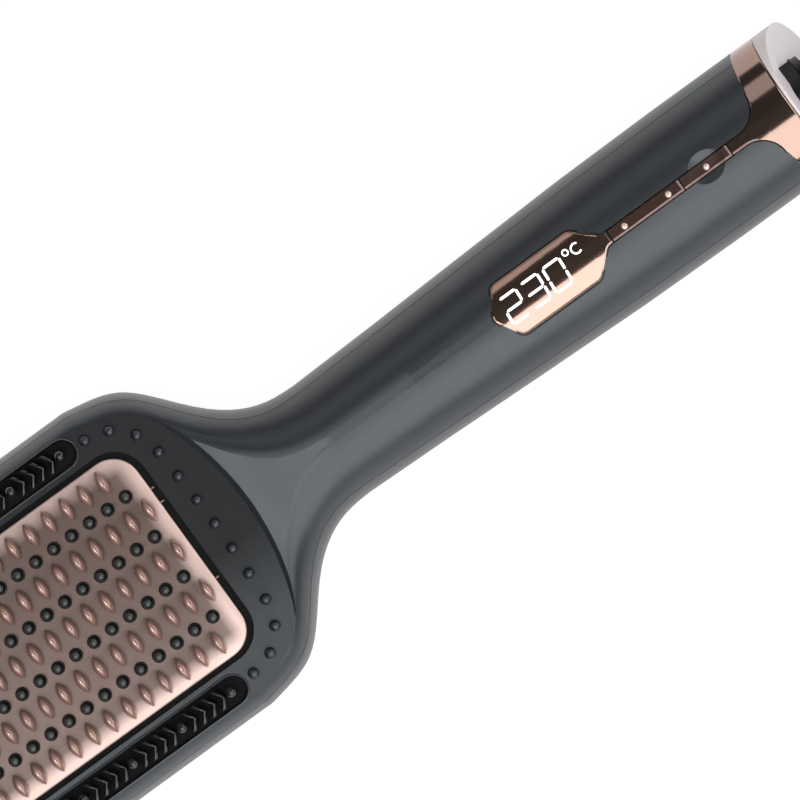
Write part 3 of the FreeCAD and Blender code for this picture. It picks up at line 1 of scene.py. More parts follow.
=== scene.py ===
"""Looks of the heated styling brush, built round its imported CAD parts.

Sizes are in millimetres unless their comment says metres.
"""
import math

import bmesh
import bpy
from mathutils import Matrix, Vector


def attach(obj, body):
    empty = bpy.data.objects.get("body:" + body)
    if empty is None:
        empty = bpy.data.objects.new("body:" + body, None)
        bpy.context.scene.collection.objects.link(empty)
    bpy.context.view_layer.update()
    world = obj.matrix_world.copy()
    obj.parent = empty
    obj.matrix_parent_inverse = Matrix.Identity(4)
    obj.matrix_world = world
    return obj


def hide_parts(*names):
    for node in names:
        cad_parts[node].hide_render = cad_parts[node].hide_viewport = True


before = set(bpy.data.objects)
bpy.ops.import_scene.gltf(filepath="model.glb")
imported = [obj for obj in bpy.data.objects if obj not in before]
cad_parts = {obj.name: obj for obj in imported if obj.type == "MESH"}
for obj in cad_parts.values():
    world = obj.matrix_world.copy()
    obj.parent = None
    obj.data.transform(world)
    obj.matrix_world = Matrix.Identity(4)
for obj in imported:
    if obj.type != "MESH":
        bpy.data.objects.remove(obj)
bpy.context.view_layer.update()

# Sizes that several sections share, in mm; places are measured from the plate's handle-side edge

MM = 0.001                 # one millimetre in metres
MIDDLE = 33.5              # place of the middle of the brush
PLATE_TOP = 22.8           # height of the heated plate
PLATE_LENGTH = 102.0
PLATE_HALF = 25.55         # half the width of the plate
FACE = 22.5                # height of the flat front face of the head
HANDLE_TOP = 27.0          # height of the grip
KEY_HALF = 1.35            # half the width of the key strip
TRIM_DEPTH = 0.3           # how far a trim reaches into what carries it
WHITE = (1, 1, 1, 1)


def at(place, side, height):
    """A point given in mm from the plate's handle-side edge."""
    return Vector(((place - MIDDLE) * MM, side * MM, height * MM))


def spread(start, end, steps):
    """Evenly spaced values from a start to an end."""
    return [start + (end - start) * step / steps for step in range(steps + 1)]


# Camera

SENSOR_WIDTH = 36
VIEW_WIDTH = 0.1734        # what the picture spans at the height of the plate, in metres
VIEW_DISTANCE = 2.5        # in metres
VIEW_PLACE = 55.1          # what the middle of the picture shows
VIEW_SIDE = -1.9
VIEW_TURN = math.radians(-36)
CLIP_START = 0.01          # in metres

camera_data = bpy.data.cameras.new("camera")
camera_data.sensor_width = SENSOR_WIDTH
camera_data.lens = SENSOR_WIDTH * VIEW_DISTANCE / VIEW_WIDTH
camera_data.clip_start = CLIP_START
camera = bpy.data.objects.new("camera", camera_data)
camera.location = at(VIEW_PLACE, VIEW_SIDE, PLATE_TOP) + Vector((0, 0, VIEW_DISTANCE))
camera.rotation_euler = (0, 0, VIEW_TURN)
bpy.context.collection.objects.link(camera)
scene = bpy.context.scene
scene.camera = camera
scene.view_settings.view_transform = "Standard"

# Building blocks of the materials

BROAD_SCALE = 120.0        # patches of tone
BROAD_DETAIL = 4
FINE_SCALE = 1500.0        # grain of roughness and relief
FINE_DETAIL = 3
RELIEF_DEPTH = 0.02 * MM


def linear(screen):
    """A colour given by its screen values from 0 to 255, after the sRGB curve."""
    def channel(value):
        value = value / 255
        return value / 12.92 if value <= 0.04045 else ((value + 0.055) / 1.055) ** 2.4
    return (*map(channel, screen), 1.0)


def add_node(surface, kind):
    """A new node of a surface."""
    return surface.node_tree.nodes.new("ShaderNode" + kind)


def feed(surface, value, socket):
    """Gives a socket a number, a colour or another result."""
    if isinstance(value, bpy.types.NodeSocket):
        surface.node_tree.links.new(value, socket)
    else:
        socket.default_value = value


def shader_of(surface):
    """The shader of a surface."""
    return surface.node_tree.nodes["Principled BSDF"]


def noise(surface, scale, detail):
    """Noise fixed to the piece."""
    place = add_node(surface, "TexCoord")
    made = add_node(surface, "TexNoise")
    made.inputs["Scale"].default_value = scale
    made.inputs["Detail"].default_value = detail
    feed(surface, place.outputs["Object"], made.inputs["Vector"])
    return made.outputs["Fac"]


def coordinate(surface, axis):
    """One of the three coordinates of a point of the piece, in metres."""
    place = add_node(surface, "TexCoord")
    split = add_node(surface, "SeparateXYZ")
    feed(surface, place.outputs["Object"], split.inputs["Vector"])
    return split.outputs[axis]


def worked(surface, operation, *values):
    """A sum made by the surface's own nodes; each value is a number or another result."""
    made = add_node(surface, "Math")
    made.operation = operation
    for socket, value in zip(made.inputs, values):
        feed(surface, value, socket)
    return made.outputs["Value"]


def faded(surface, value, start, end, first=0.0, last=1.0):
    """A result that runs from a first to a last amount while a value runs from start to end."""
    fade = add_node(surface, "MapRange")
    fade.inputs["From Min"].default_value = start
    fade.inputs["From Max"].default_value = end
    fade.inputs["To Min"].default_value = first
    fade.inputs["To Max"].default_value = last
    feed(surface, value, fade.inputs["Value"])
    return fade.outputs["Result"]


def mixed(surface, first, second, amount):
    """A tone between two others, by an amount from 0 to 1."""
    tone = add_node(surface, "Mix")
    tone.data_type = "RGBA"
    feed(surface, first, tone.inputs["A"])
    feed(surface, second, tone.inputs["B"])
    feed(surface, amount, tone.inputs["Factor"])
    return tone.outputs["Result"]


def mix_tone(surface, amount, screen):
    """Mixes a tone into a surface by an amount from 0 to 1."""
    base = shader_of(surface).inputs["Base Color"]
    feed(surface, mixed(surface, base.links[0].from_socket, linear(screen), amount), base)


def material(name, dark, light, rough, bump, metallic=0.0, specular=0.5, glow=0.0, tint=WHITE):
    """A surface whose tone, roughness and relief vary finely; dark and light are its two tones."""
    made = bpy.data.materials.new(name)
    made.use_nodes = True
    sockets = shader_of(made).inputs
    tone = mixed(made, linear(dark), linear(light), noise(made, BROAD_SCALE, BROAD_DETAIL))
    fine = noise(made, FINE_SCALE, FINE_DETAIL)
    relief = add_node(made, "Bump")
    relief.inputs["Strength"].default_value = bump
    relief.inputs["Distance"].default_value = RELIEF_DEPTH
    feed(made, fine, relief.inputs["Height"])
    feed(made, tone, sockets["Base Color"])
    feed(made, faded(made, fine, 0.0, 1.0, *rough), sockets["Roughness"])
    feed(made, relief.outputs["Normal"], sockets["Normal"])
    sockets["Metallic"].default_value = metallic
    sockets["Specular IOR Level"].default_value = specular
    sockets["Specular Tint"].default_value = tint
    if glow:
        feed(made, tone, sockets["Emission Color"])
        sockets["Emission Strength"].default_value = glow
    return made


# Housing: graphite with a darker, duller front face, which fades towards the key-lit -Y side as painted light

LEVEL_BAND = 0.03          # how far from the front face still counts as on it
LIT_SIDE_FADE_START = -6.0          # side at which the dull finish starts to fade, as painted light towards the key-lit -Y side
LIT_SIDE_FADE_END = -24.0           # side at which it has faded most
LIT_SIDE_LEFT_SHARE = 0.25     # what is left of it there
HEAD_END = 20.0            # place where the front face has ended
DULL_SPECULAR = 0.25


def dull_face(surface, screen):
    """Gives the flat front face of the head a darker and duller finish, faded out towards the -Y side as
    painted light where the key light falls.
    """
    gloss = shader_of(surface).inputs["Specular IOR Level"]
    level = worked(surface, "COMPARE", coordinate(surface, "Z"), FACE * MM, LEVEL_BAND * MM)
    on_head = worked(surface, "LESS_THAN", coordinate(surface, "X"), (HEAD_END - MIDDLE) * MM)
    # painted light: the darkening fades out towards the -Y side, where the key light falls
    lit_side_fade = faded(surface, coordinate(surface, "Y"), LIT_SIDE_FADE_START * MM, LIT_SIDE_FADE_END * MM, 1.0, LIT_SIDE_LEFT_SHARE)
    amount = worked(surface, "MULTIPLY", worked(surface, "MULTIPLY", level, on_head), lit_side_fade)
    mix_tone(surface, amount, screen)
    feed(surface, faded(surface, amount, 0.0, 1.0, gloss.default_value, DULL_SPECULAR), gloss)


graphite = material("graphite", (26, 28, 31), (30, 32, 36), (0.34, 0.42), 0.15, specular=0.7,
                    tint=(0.9, 0.955, 1, 1))
dull_face(graphite, (11, 11, 12))

# Plate: rose, with painted shade between the rows of teeth

ROWS_START_LENGTH = 49.5   # half the length at which the painted shade starts
ROWS_FULL_LENGTH = 46.5    # half the length at which the painted shade is full
ROWS_START_WIDTH = 24.0    # half the width at which the painted shade starts
ROWS_FULL_WIDTH = 21.0     # half the width at which the painted shade is full


def paint_shade_between_rows(surface, screen):
    """Paints shade over the middle of the plate, where the teeth stand close together and shadow it."""
    from_middle = worked(surface, "ADD", coordinate(surface, "X"), (PLATE_LENGTH / 2 + MIDDLE) * MM)
    along = worked(surface, "ABSOLUTE", from_middle)
    across = worked(surface, "ABSOLUTE", coordinate(surface, "Y"))
    inside_ends = faded(surface, along, ROWS_START_LENGTH * MM, ROWS_FULL_LENGTH * MM)
    inside_sides = faded(surface, across, ROWS_START_WIDTH * MM, ROWS_FULL_WIDTH * MM)
    mix_tone(surface, worked(surface, "MULTIPLY", inside_ends, inside_sides), screen)


rose_plate = material("rose_plate", (208, 181, 172), (218, 191, 182), (0.42, 0.52), 0.25, metallic=0.4)
# painted shade of the teeth over the middle of the plate
paint_shade_between_rows(rose_plate, (122, 103, 96))

# Teeth: glossy rose, with painted shade towards the root

TOOTH_LIGHT_HEIGHT = 26.8
TOOTH_DARK_HEIGHT = 23.2

rose_tooth = material("rose_tooth", (142, 108, 98), (152, 117, 107), (0.17, 0.22), 0.05, metallic=0.15,
                      specular=1.0)
# painted shade: the teeth darken towards the plate, where they shadow one another
painted_root_shade = faded(rose_tooth, coordinate(rose_tooth, "Z"), TOOTH_LIGHT_HEIGHT * MM, TOOTH_DARK_HEIGHT * MM)
mix_tone(rose_tooth, painted_root_shade, (84, 62, 56))

# Other surfaces that are seen

black = material("black", (9, 9, 10), (13, 13, 14), (0.32, 0.42), 0.2, specular=0.3)
comb_black = material("comb_black", (8, 8, 9), (12, 12, 13), (0.2, 0.26), 0.05, specular=0.6)
bed_black = material("bed_black", (5, 5, 6), (8, 8, 9), (0.5, 0.6), 0.2, specular=0.1)
grey_tip = material("grey_tip", (44, 48, 47), (54, 58, 57), (0.18, 0.26), 0.1)
rose_mirror = material("rose_mirror", (154, 129, 118), (158, 133, 122), (0.11, 0.15), 0.0, metallic=1.0)
rose_window = material("rose_window", (171, 140, 127), (175, 144, 131), (0.1, 0.14), 0.0, metallic=1.0)
# The two key surfaces below are darker copies of the strip's rose metal: painted dark reflection on the flat
# keys; the power key's is also duller.
key_painted_reflection = material("key_painted_reflection", (66, 48, 42), (72, 54, 47), (0.28, 0.36), 0.0, metallic=0.9)
key_dull_painted_reflection = material("key_dull_painted_reflection", (48, 33, 28), (54, 38, 33), (0.45, 0.53), 0.05, metallic=0.2, specular=0.2)
# pale rose for the strip's edges: painted highlight
painted_edge_highlight = material("painted_edge_highlight", (130, 106, 101), (138, 114, 108), (0.35, 0.45), 0.0, metallic=0.3)
bright_stud = material("bright_stud", (206, 184, 175), (214, 192, 183), (0.15, 0.2), 0.0, metallic=0.4)
mauve = material("mauve", (206, 196, 198), (212, 204, 205), (0.35, 0.45), 0.1)
digit_white = material("digit_white", (246, 240, 238), (255, 255, 255), (0.3, 0.4), 0.0, glow=0.8)

# Surfaces inside the brush

steel = material("steel", (150, 150, 152), (170, 170, 172), (0.2, 0.3), 0.1, metallic=1.0)
brass = material("brass", (176, 142, 78), (192, 158, 92), (0.25, 0.35), 0.1, metallic=1.0)
ceramic = material("ceramic", (214, 208, 198), (226, 221, 212), (0.5, 0.6), 0.2)
mica = material("mica", (150, 136, 108), (176, 162, 132), (0.45, 0.6), 0.3)
board_green = material("board_green", (24, 68, 42), (32, 82, 52), (0.35, 0.45), 0.15)
component_black = material("component_black", (18, 18, 19), (26, 26, 27), (0.45, 0.55), 0.15)
lead_white = material("lead_white", (196, 192, 184), (210, 206, 198), (0.45, 0.55), 0.1)

NODE_MATERIALS = {
    "front_shell": graphite,
    "back_shell": graphite,
    "guard_studs": graphite,
    "heating_plate": rose_plate,
    "plate_frame": bed_black,
    "bristle_strips": black,
    "side_comb_left": comb_black,
    "side_comb_right": comb_black,
    "display_lens": rose_window,
    "temperature_rocker": key_painted_reflection,
    "rocker_dots": bright_stud,
    "rocker_pivot": black,
    "power_key": key_dull_painted_reflection,
    "power_dot": bright_stud,
    "trim_ring": rose_mirror,
    "end_plate": mauve,
    "swivel_bush": black,
    "swivel_clip": black,
    "swivel_collar": black,
    "housing_screws": steel,
    "clamp_screws": steel,
    "board_screws": steel,
    "heater_clamp": steel,
    "thermal_fuse": steel,
    "contact_pin": brass,
    "contact_socket": component_black,
    "heating_bars": ceramic,
    "thermistor": ceramic,
    "heat_shield": mica,
    "control_board": board_green,
    "led_display": component_black,
    "push_switches": component_black,
    "heater_leads": lead_white,
    "sensor_leads": lead_white,
    "mains_leads": lead_white,
}
for name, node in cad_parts.items():
    node.data.materials.clear()
    node.data.materials.append(NODE_MATERIALS[name])

# Shapes shared by the pieces

WELD = 0.0001                      # corners closer than this become one
SHARP_ANGLE = math.radians(65)     # an edge that turns by more than this stays crisp
BALL_END = 3.05                    # angle at which a ball's profile stops, just before its top


def add_mesh(name, vertices, faces, surface, smooth=True):
    """A new mesh object whose faces look outwards."""
    data = bpy.data.meshes.new(name)
    data.from_pydata([tuple(vertex) for vertex in vertices], [], faces)
    shape = bmesh.new()
    shape.from_mesh(data)
    bmesh.ops.remove_doubles(shape, verts=shape.verts, dist=WELD * MM)
    bmesh.ops.recalc_face_normals(shape, faces=shape.faces)
    shape.to_mesh(data)
    shape.free()
    for face in data.polygons:
        face.use_smooth = smooth
    data.set_sharp_from_angle(angle=SHARP_ANGLE)
    data.materials.append(surface)
    made = bpy.data.objects.new(name, data)
    bpy.context.collection.objects.link(made)
    return made


class Build:
    """Collects many small shapes into one mesh."""

    def __init__(self):
        self.vertices = []
        self.faces = []

    def rings(self, rings, closed=True):
        """Joins rings of corners with quads; a closed shape gets a face at either end."""
        count = len(rings[0])
        first = len(self.vertices)
        for ring in rings:
            self.vertices.extend(ring)
        for level in range(len(rings) - 1):
            low = first + level * count
            for step in range(count):
                after = (step + 1) % count
                self.faces.append((low + step, low + after, low + count + after, low + count + step))
        if closed:
            last = first + (len(rings) - 1) * count
            self.faces.append(tuple(range(first + count - 1, first - 1, -1)))
            self.faces.append(tuple(range(last, last + count)))

    def bar(self, *lines):
        """A bar with two ends; the lines of points run along its edges."""
        self.rings(list(zip(*lines)))

    def hoop(self, *lines):
        """A bar that runs back into itself; the lines of points run along its edges."""
        rings = list(zip(*lines))
        self.rings(rings + rings[:1], closed=False)

    def piece(self, name, body, surface, smooth=True):
        """The mesh object, riding on its body."""
        made = add_mesh(name, self.vertices, self.faces, surface, smooth)
        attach(made, body)
        return made


def turned(place, side, profile, sides):
    """Rings of a shape turned round an upright axis; the profile gives radii and heights."""
    rings = []
    for radius, height in profile:
        ring = []
        for step in range(sides):
            angle = 2 * math.pi * step / sides
            ring.append(at(place + radius * math.cos(angle), side + radius * math.sin(angle), height))
        rings.append(ring)
    return rings


def ball(radius, top, start, steps):
    """Profile of a ball up to its top, from an angle counted from its lowest point."""
    middle = top - radius
    return [(radius * math.sin(angle), middle - radius * math.cos(angle))
            for angle in spread(start, BALL_END, steps)]


# Heated plate with its tabs and teeth

PLATE_CORNER = 6.5
PLATE_BOTTOM = 20.2
PLATE_EDGE = 0.4           # rounding of the rim
PLATE_EDGE_MIDDLE = 0.12   # inset and drop halfway along that rounding
# Inset and drop of the lines of the rounded rim
PLATE_RIM = ((0.0, PLATE_EDGE), (PLATE_EDGE_MIDDLE, PLATE_EDGE_MIDDLE), (PLATE_EDGE, 0.0))
CORNER_STEPS = 10
TABS = (14.3, 10.7, -9.6)
TAB_WIDTH = 0.5
TAB_LENGTH = 0.9
TAB_ROOT = 0.5             # how far a tab reaches back into the plate
TAB_DROP = 0.5             # how far it lies below the plate's top
TAB_THICKNESS = 0.8
TAB_BEVEL = 0.1
ROW_PITCH = 10.7
OUTER_ROW = 2              # number of the outer row, counted from the middle one
INNER_TEETH = 21
OUTER_TEETH = 19
TOOTH_PITCH = 4.81
TOOTH_EDGE = 2.9           # plate edge to the first tooth
TOOTH_TOP = 27.8
TOOTH_HALF_LENGTH = 2.95
TOOTH_HALF_WIDTH = 1.3
TOOTH_LEVELS = 10
TOOTH_SIDES = 24
CREST_GAP_SHARE = 0.4      # part of a level by which the last one stops short of the crest
DOME_POWER = 3.8           # how steep the flanks of a tooth are
LEAF_POWER = 2.2           # how pointed its leaf is
LEAF_FULLNESS = 0.8


def plate_ring(inset, height):
    """Outline of the plate, drawn in by an inset."""
    radius = PLATE_CORNER - inset
    ring = []
    for corner in range(4):
        near = corner in (0, 3)
        left = corner in (0, 1)
        middle_place = -PLATE_CORNER if near else PLATE_CORNER - PLATE_LENGTH
        middle_side = (PLATE_HALF - PLATE_CORNER) * (1 if left else -1)
        for angle in spread(math.pi / 2 * corner, math.pi / 2 * (corner + 1), CORNER_STEPS):
            ring.append(at(middle_place + radius * math.cos(angle), middle_side + radius * math.sin(angle),
                           height))
    return ring


def tab_rings(side):
    """A small tab at the end of the plate."""
    top = PLATE_TOP - TAB_DROP
    rings = []
    for inset, height in ((0.0, top - TAB_THICKNESS), (0.0, top - TAB_BEVEL), (TAB_BEVEL, top)):
        half = TAB_WIDTH / 2 - inset
        corners = ((-TAB_ROOT, -half), (TAB_LENGTH, -half), (TAB_LENGTH, half), (-TAB_ROOT, half))
        rings.append([at(place, side + across, height) for place, across in corners])
    return rings


def tooth_rings(place, side):
    """A leaf across the brush that rises in a dome with steep flanks."""
    rings = []
    for level in range(TOOTH_LEVELS):
        share = math.cos(math.pi / 2 * level / (TOOTH_LEVELS - 1 + CREST_GAP_SHARE))
        height = PLATE_TOP + (TOOTH_TOP - PLATE_TOP) * math.sqrt(1 - share ** DOME_POWER)
        ring = []
        for step in range(TOOTH_SIDES):
            angle = 2 * math.pi * step / TOOTH_SIDES
            across = math.cos(angle)
            bulge = (1 - abs(across) ** LEAF_POWER) ** LEAF_FULLNESS * (1 if math.sin(angle) >= 0 else -1)
            ring.append(at(place + share * TOOTH_HALF_WIDTH * bulge,
                           side + share * TOOTH_HALF_LENGTH * across, height))
        rings.append(ring)
    return rings


plate = Build()
rim_rings = [plate_ring(inset, PLATE_TOP - drop) for inset, drop in PLATE_RIM]
plate.rings([plate_ring(0.0, PLATE_BOTTOM)] + rim_rings)
plate_piece = plate.piece("plate", "brush", rose_plate)
tabs = Build()
for side in TABS:
    tabs.rings(tab_rings(side))
tabs.piece("plate_tabs", "brush", rose_tooth)
teeth = Build()
for row in range(-OUTER_ROW, OUTER_ROW + 1):
    count = OUTER_TEETH if abs(row) == OUTER_ROW else INNER_TEETH
    skipped = (INNER_TEETH - count) / 2
    for step in range(count):
        teeth.rings(tooth_rings(-(TOOTH_EDGE + (skipped + step) * TOOTH_PITCH), row * ROW_PITCH))
teeth.piece("plate_teeth", "brush", rose_tooth)
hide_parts("heating_plate")

# Bristles in their black collars

BRISTLE_ROWS = (-1.5, -0.5, 0.5, 1.5)      # in row pitches, between the rows of teeth
BRISTLES = 20
BRISTLE_TOP = 31.3
BRISTLE_DEPTH = 1.8        # how far a bristle reaches below the plate's top
BRISTLE_FOOT_RADIUS = 0.62
BRISTLE_NECK_RADIUS = 0.5
BRISTLE_BALL = 0.93
BRISTLE_BALL_START = 0.6   # angle at which the ball leaves its neck
BRISTLE_BALL_STEPS = 8
BRISTLE_SIDES = 14
COLLAR_RADIUS = 1.55
COLLAR_SIDES = 20
# Inset from the collar's radius and rise above the plate
COLLAR_PROFILE = ((0.0, -TRIM_DEPTH), (0.0, 0.15), (0.15, 0.32), (0.4, 0.3), (0.55, 0.1), (0.6, 0.03))

collar_profile = [(COLLAR_RADIUS - inset, PLATE_TOP + rise) for inset, rise in COLLAR_PROFILE]
bristle_profile = [
    (BRISTLE_FOOT_RADIUS, PLATE_TOP - BRISTLE_DEPTH),
    (BRISTLE_NECK_RADIUS, BRISTLE_TOP - 2 * BRISTLE_BALL),
] + ball(BRISTLE_BALL, BRISTLE_TOP, BRISTLE_BALL_START, BRISTLE_BALL_STEPS)
collars = Build()
bristles = Build()
for row in BRISTLE_ROWS:
    for step in range(BRISTLES):
        place = -(TOOTH_EDGE + (step + 0.5) * TOOTH_PITCH)
        collars.rings(turned(place, row * ROW_PITCH, collar_profile, COLLAR_SIDES))
        bristles.rings(turned(place, row * ROW_PITCH, bristle_profile, BRISTLE_SIDES))
collars.piece("bristle_collars", "brush", black)
bristles_piece = bristles.piece("bristles", "brush", grey_tip)
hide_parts("bristle_strips")

# Raised edges of the side slots

SLOT_SIDE = 31.55
SLOT_HALF_WIDTH = 3.15
SLOT_END = 11.15           # plate edge to the middle of the slot's round end
SLOT_STEPS = 12
LIP = 0.55                 # width of the raised edge
LIP_RISE = 0.22
# Reach out of the slot and rise above the front face, all the way round
LIP_PROFILE = (
    (0.0, -TRIM_DEPTH),
    (0.0, LIP_RISE / 2),
    (LIP / 3, LIP_RISE),
    (LIP * 2 / 3, LIP_RISE),
    (LIP, 0.0),
    (LIP, -TRIM_DEPTH),
    (0.0, -TRIM_DEPTH),
)


def slot_ring(side, half_width, height):
    """Outline of a side slot, given by half its width."""
    ring = []
    for middle, start in ((-SLOT_END, -math.pi / 2), (SLOT_END - PLATE_LENGTH, math.pi / 2)):
        for angle in spread(start, start + math.pi, SLOT_STEPS):
            ring.append(at(middle + half_width * math.cos(angle), side + half_width * math.sin(angle),
                           height))
    return ring


lips = Build()
for side in (SLOT_SIDE, -SLOT_SIDE):
    lip_rings = [slot_ring(side, SLOT_HALF_WIDTH + out, FACE + rise) for out, rise in LIP_PROFILE]
    lips.rings(lip_rings, closed=False)
lips.piece("slot_lips", "brush", graphite)

# Side combs: a bed in each slot, bent fins and round pins

COMB_GAP = 0.15            # gap between the bed and its slot
COMB_BASE = 21.5
COMB_FOOT = 20.6
FINS_BETWEEN = 4
FIN_TOP = 26.1
FIN_PITCH = 2.6
FIN_HALF_WIDTH = 2.3
FIN_BEND = 0.75
FIN_HALF_THICKNESS = 0.4
FIN_EDGE = 0.22            # bevel along the top of a fin
PINS = 7
PIN_TOP = 29.0
PIN_RADIUS = 1.1
PIN_PITCH = 13.1
PIN_STEPS = 6
PIN_SIDES = 18


def fin_ring(place, side, inset, height):
    """Corners of a bent fin, drawn in by an inset."""
    thick = FIN_HALF_THICKNESS - inset
    half = FIN_HALF_WIDTH - inset
    corners = (
        (-FIN_BEND - thick, -half),
        (thick - FIN_BEND, -half),
        (FIN_BEND + thick, 0),
        (thick - FIN_BEND, half),
        (-FIN_BEND - thick, half),
        (FIN_BEND - thick, 0),
    )
    return [at(place + along, side + across, height) for along, across in corners]


FIN_LEVELS = ((0.0, COMB_FOOT), (0.0, FIN_TOP - FIN_EDGE), (FIN_EDGE, FIN_TOP))    # inset and height
pin_profile = [(PIN_RADIUS, COMB_FOOT)] + ball(PIN_RADIUS, PIN_TOP, math.pi / 2, PIN_STEPS)
pin_places = [(step - (PINS - 1) / 2) * PIN_PITCH - PLATE_LENGTH / 2 for step in range(PINS)]
for name, side in (("left", SLOT_SIDE), ("right", -SLOT_SIDE)):
    bed = Build()
    bed.rings([slot_ring(side, SLOT_HALF_WIDTH - COMB_GAP, height) for height in (COMB_FOOT, COMB_BASE)])
    bed.piece("comb_bed_" + name, "brush", bed_black, smooth=False)
    comb = Build()
    for pin_place in pin_places[:-1]:
        for fin in range(FINS_BETWEEN):
            fin_place = pin_place + PIN_PITCH / 2 + (fin - (FINS_BETWEEN - 1) / 2) * FIN_PITCH
            comb.rings([fin_ring(fin_place, side, inset, height) for inset, height in FIN_LEVELS])
    comb_piece = comb.piece("comb_" + name, "brush", comb_black, smooth=False)
    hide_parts("side_comb_" + name)
    pins = Build()
    for pin_place in pin_places:
        pins.rings(turned(pin_place, side, pin_profile, PIN_SIDES))
    pins.piece("comb_pins_" + name, "brush", comb_black)

# Guard studs round the plate

# Place and share of the plate's half width
GUARD_SHARES = (
    (6.9, 0.0),
    (6.8, 0.254),
    (6.5, 0.509),
    (6.1, 0.771),
    (4.4, 0.998),
    (0.1, 1.162),
    (-5.4, 1.217),
)
GUARD_RADIUS = 1.05
GUARD_TOP = 25.5
GUARD_STEPS = 6
GUARD_SIDES = 18
GUARD_FOOT = ((0.35, -0.1), (0.1, 0.15), (0.0, 0.5))       # reach beyond the radius and rise above the face

guard_profile = [(GUARD_RADIUS + out, FACE + rise) for out, rise in GUARD_FOOT]
guard_profile += ball(GUARD_RADIUS, GUARD_TOP, math.pi / 2, GUARD_STEPS)
studs = Build()
for place, share in GUARD_SHARES:
    for signed_share in sorted({share, -share}):
        for stud_place in (place, -PLATE_LENGTH - place):
            studs.rings(turned(stud_place, signed_share * PLATE_HALF, guard_profile, GUARD_SIDES))
studs_piece = studs.piece("guard_nubs", "brush", graphite)
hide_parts("guard_studs")

# Joint line between the two shells

PARTING = 18.0             # height of the joint
PARTING_BAND = 0.001       # how far from the joint still counts as on it
LINE_WIDTH = 0.13
LINE_PROUD = 0.02
DOWNWARD_SHARE = -0.9      # a face that looks down more than this is the joint itself
TIP_START = -120.0         # where the sides close towards the tip, from the middle of the brush
TIP_MIDDLE = -110.0        # point that the faces of the tip look away from


def outward_face(edge):
    """The level direction in which an outer edge of the joint faces, or None for any other edge."""
    ends = [vertex.co for vertex in edge.verts]
    if max(abs(end.z - PARTING * MM) for end in ends) > PARTING_BAND * MM:
        return None
    normals = [face.normal for face in edge.link_faces if face.normal.z > DOWNWARD_SHARE]
    middle = (ends[0] + ends[1]) / 2
    along = middle.x - TIP_MIDDLE * MM if middle.x <= TIP_START * MM else 0.0
    if not normals or normals[0].dot(Vector((along, middle.y, 0))) <= 0:
        return None
    return Vector((normals[0].x, normals[0].y, 0)).normalized()


shell_mesh = bmesh.new()
shell_mesh.from_mesh(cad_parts["front_shell"].data)
half_line = Vector((0, 0, LINE_WIDTH / 2 * MM))
line = Build()
for edge in shell_mesh.edges:
    outward = outward_face(edge)
    if outward is None:
        continue
    lines = []
    for reach, rise in ((LINE_PROUD, -half_line), (LINE_PROUD, half_line), (-TRIM_DEPTH, half_line),
                        (-TRIM_DEPTH, -half_line)):
        lines.append([vertex.co + outward * reach * MM + rise for vertex in edge.verts])
    line.bar(*lines)
shell_mesh.free()
line.piece("joint_line", "brush", black)

# Lit digits and unit on the crowned window

CROWN_FLAT = 1.0           # half the width of the flat on top of the grip
CROWN_WAIST = 9.0          # height at which the grip is widest
GRIP_NEAR_PLACE = 82.6
GRIP_NEAR_HALF = 15.7
GRIP_FAR_PLACE = 110.7
GRIP_FAR_HALF = 16.6
DIGIT_LIFT = 0.15
DIGIT_STARTS = {"2": 84.6, "3": 90.3, "0": 96.1}
DIGIT_STROKES = {"2": "abged", "3": "abgcd", "0": "abcdef"}
DIGIT_HALF_HEIGHT = 3.35
DIGIT_WIDTH = 4.9
DIGIT_MIDDLE = -0.1
STROKE = 0.6               # width of a stroke
STROKE_GAP = 0.12          # gap at either end of a stroke
SLANT_SHARE = 0.07         # how far a digit leans, of its height
ARC_STEPS = 16
DEGREE_PLACE = 102.7
DEGREE_SIDE = 2.9
DEGREE_RADIUS = 0.65
DEGREE_WIDTH = 0.35
LETTER_PLACE = 105.2
LETTER_SIDE = 2.3
LETTER_RADIUS = 1.15
LETTER_WIDTH = 0.4
LETTER_START = math.radians(50)
LETTER_STOP = math.radians(310)


def crown(side, half_width):
    """Height of the crowned top of a section of the handle."""
    share = max(0.0, abs(side) - CROWN_FLAT) / (half_width - CROWN_FLAT)
    return CROWN_WAIST + (HANDLE_TOP - CROWN_WAIST) * math.sqrt(1 - share * share)


def on_grip(place, side, lift):
    """A point near the display, lifted off the grip or, with a lift below zero, sunk into it."""
    run = (place - GRIP_NEAR_PLACE) / (GRIP_FAR_PLACE - GRIP_NEAR_PLACE)
    half_width = GRIP_NEAR_HALF + (GRIP_FAR_HALF - GRIP_NEAR_HALF) * run
    return at(place, side, crown(side, half_width) + lift)


def stroke_rings(start, end):
    """One stroke of a digit, with pointed ends."""
    along = (Vector(end) - Vector(start)).normalized()
    across = Vector((-along.y, along.x)) * (STROKE / 2)
    tip = along * (STROKE / 2)
    first = Vector(start) + along * STROKE_GAP
    last = Vector(end) - along * STROKE_GAP
    outline = (
        first,
        first + tip + across,
        last - tip + across,
        last,
        last - tip - across,
        first + tip - across,
    )
    return [[on_grip(point.x + SLANT_SHARE * point.y, point.y, lift) for point in outline]
            for lift in (-TRIM_DEPTH, DIGIT_LIFT)]


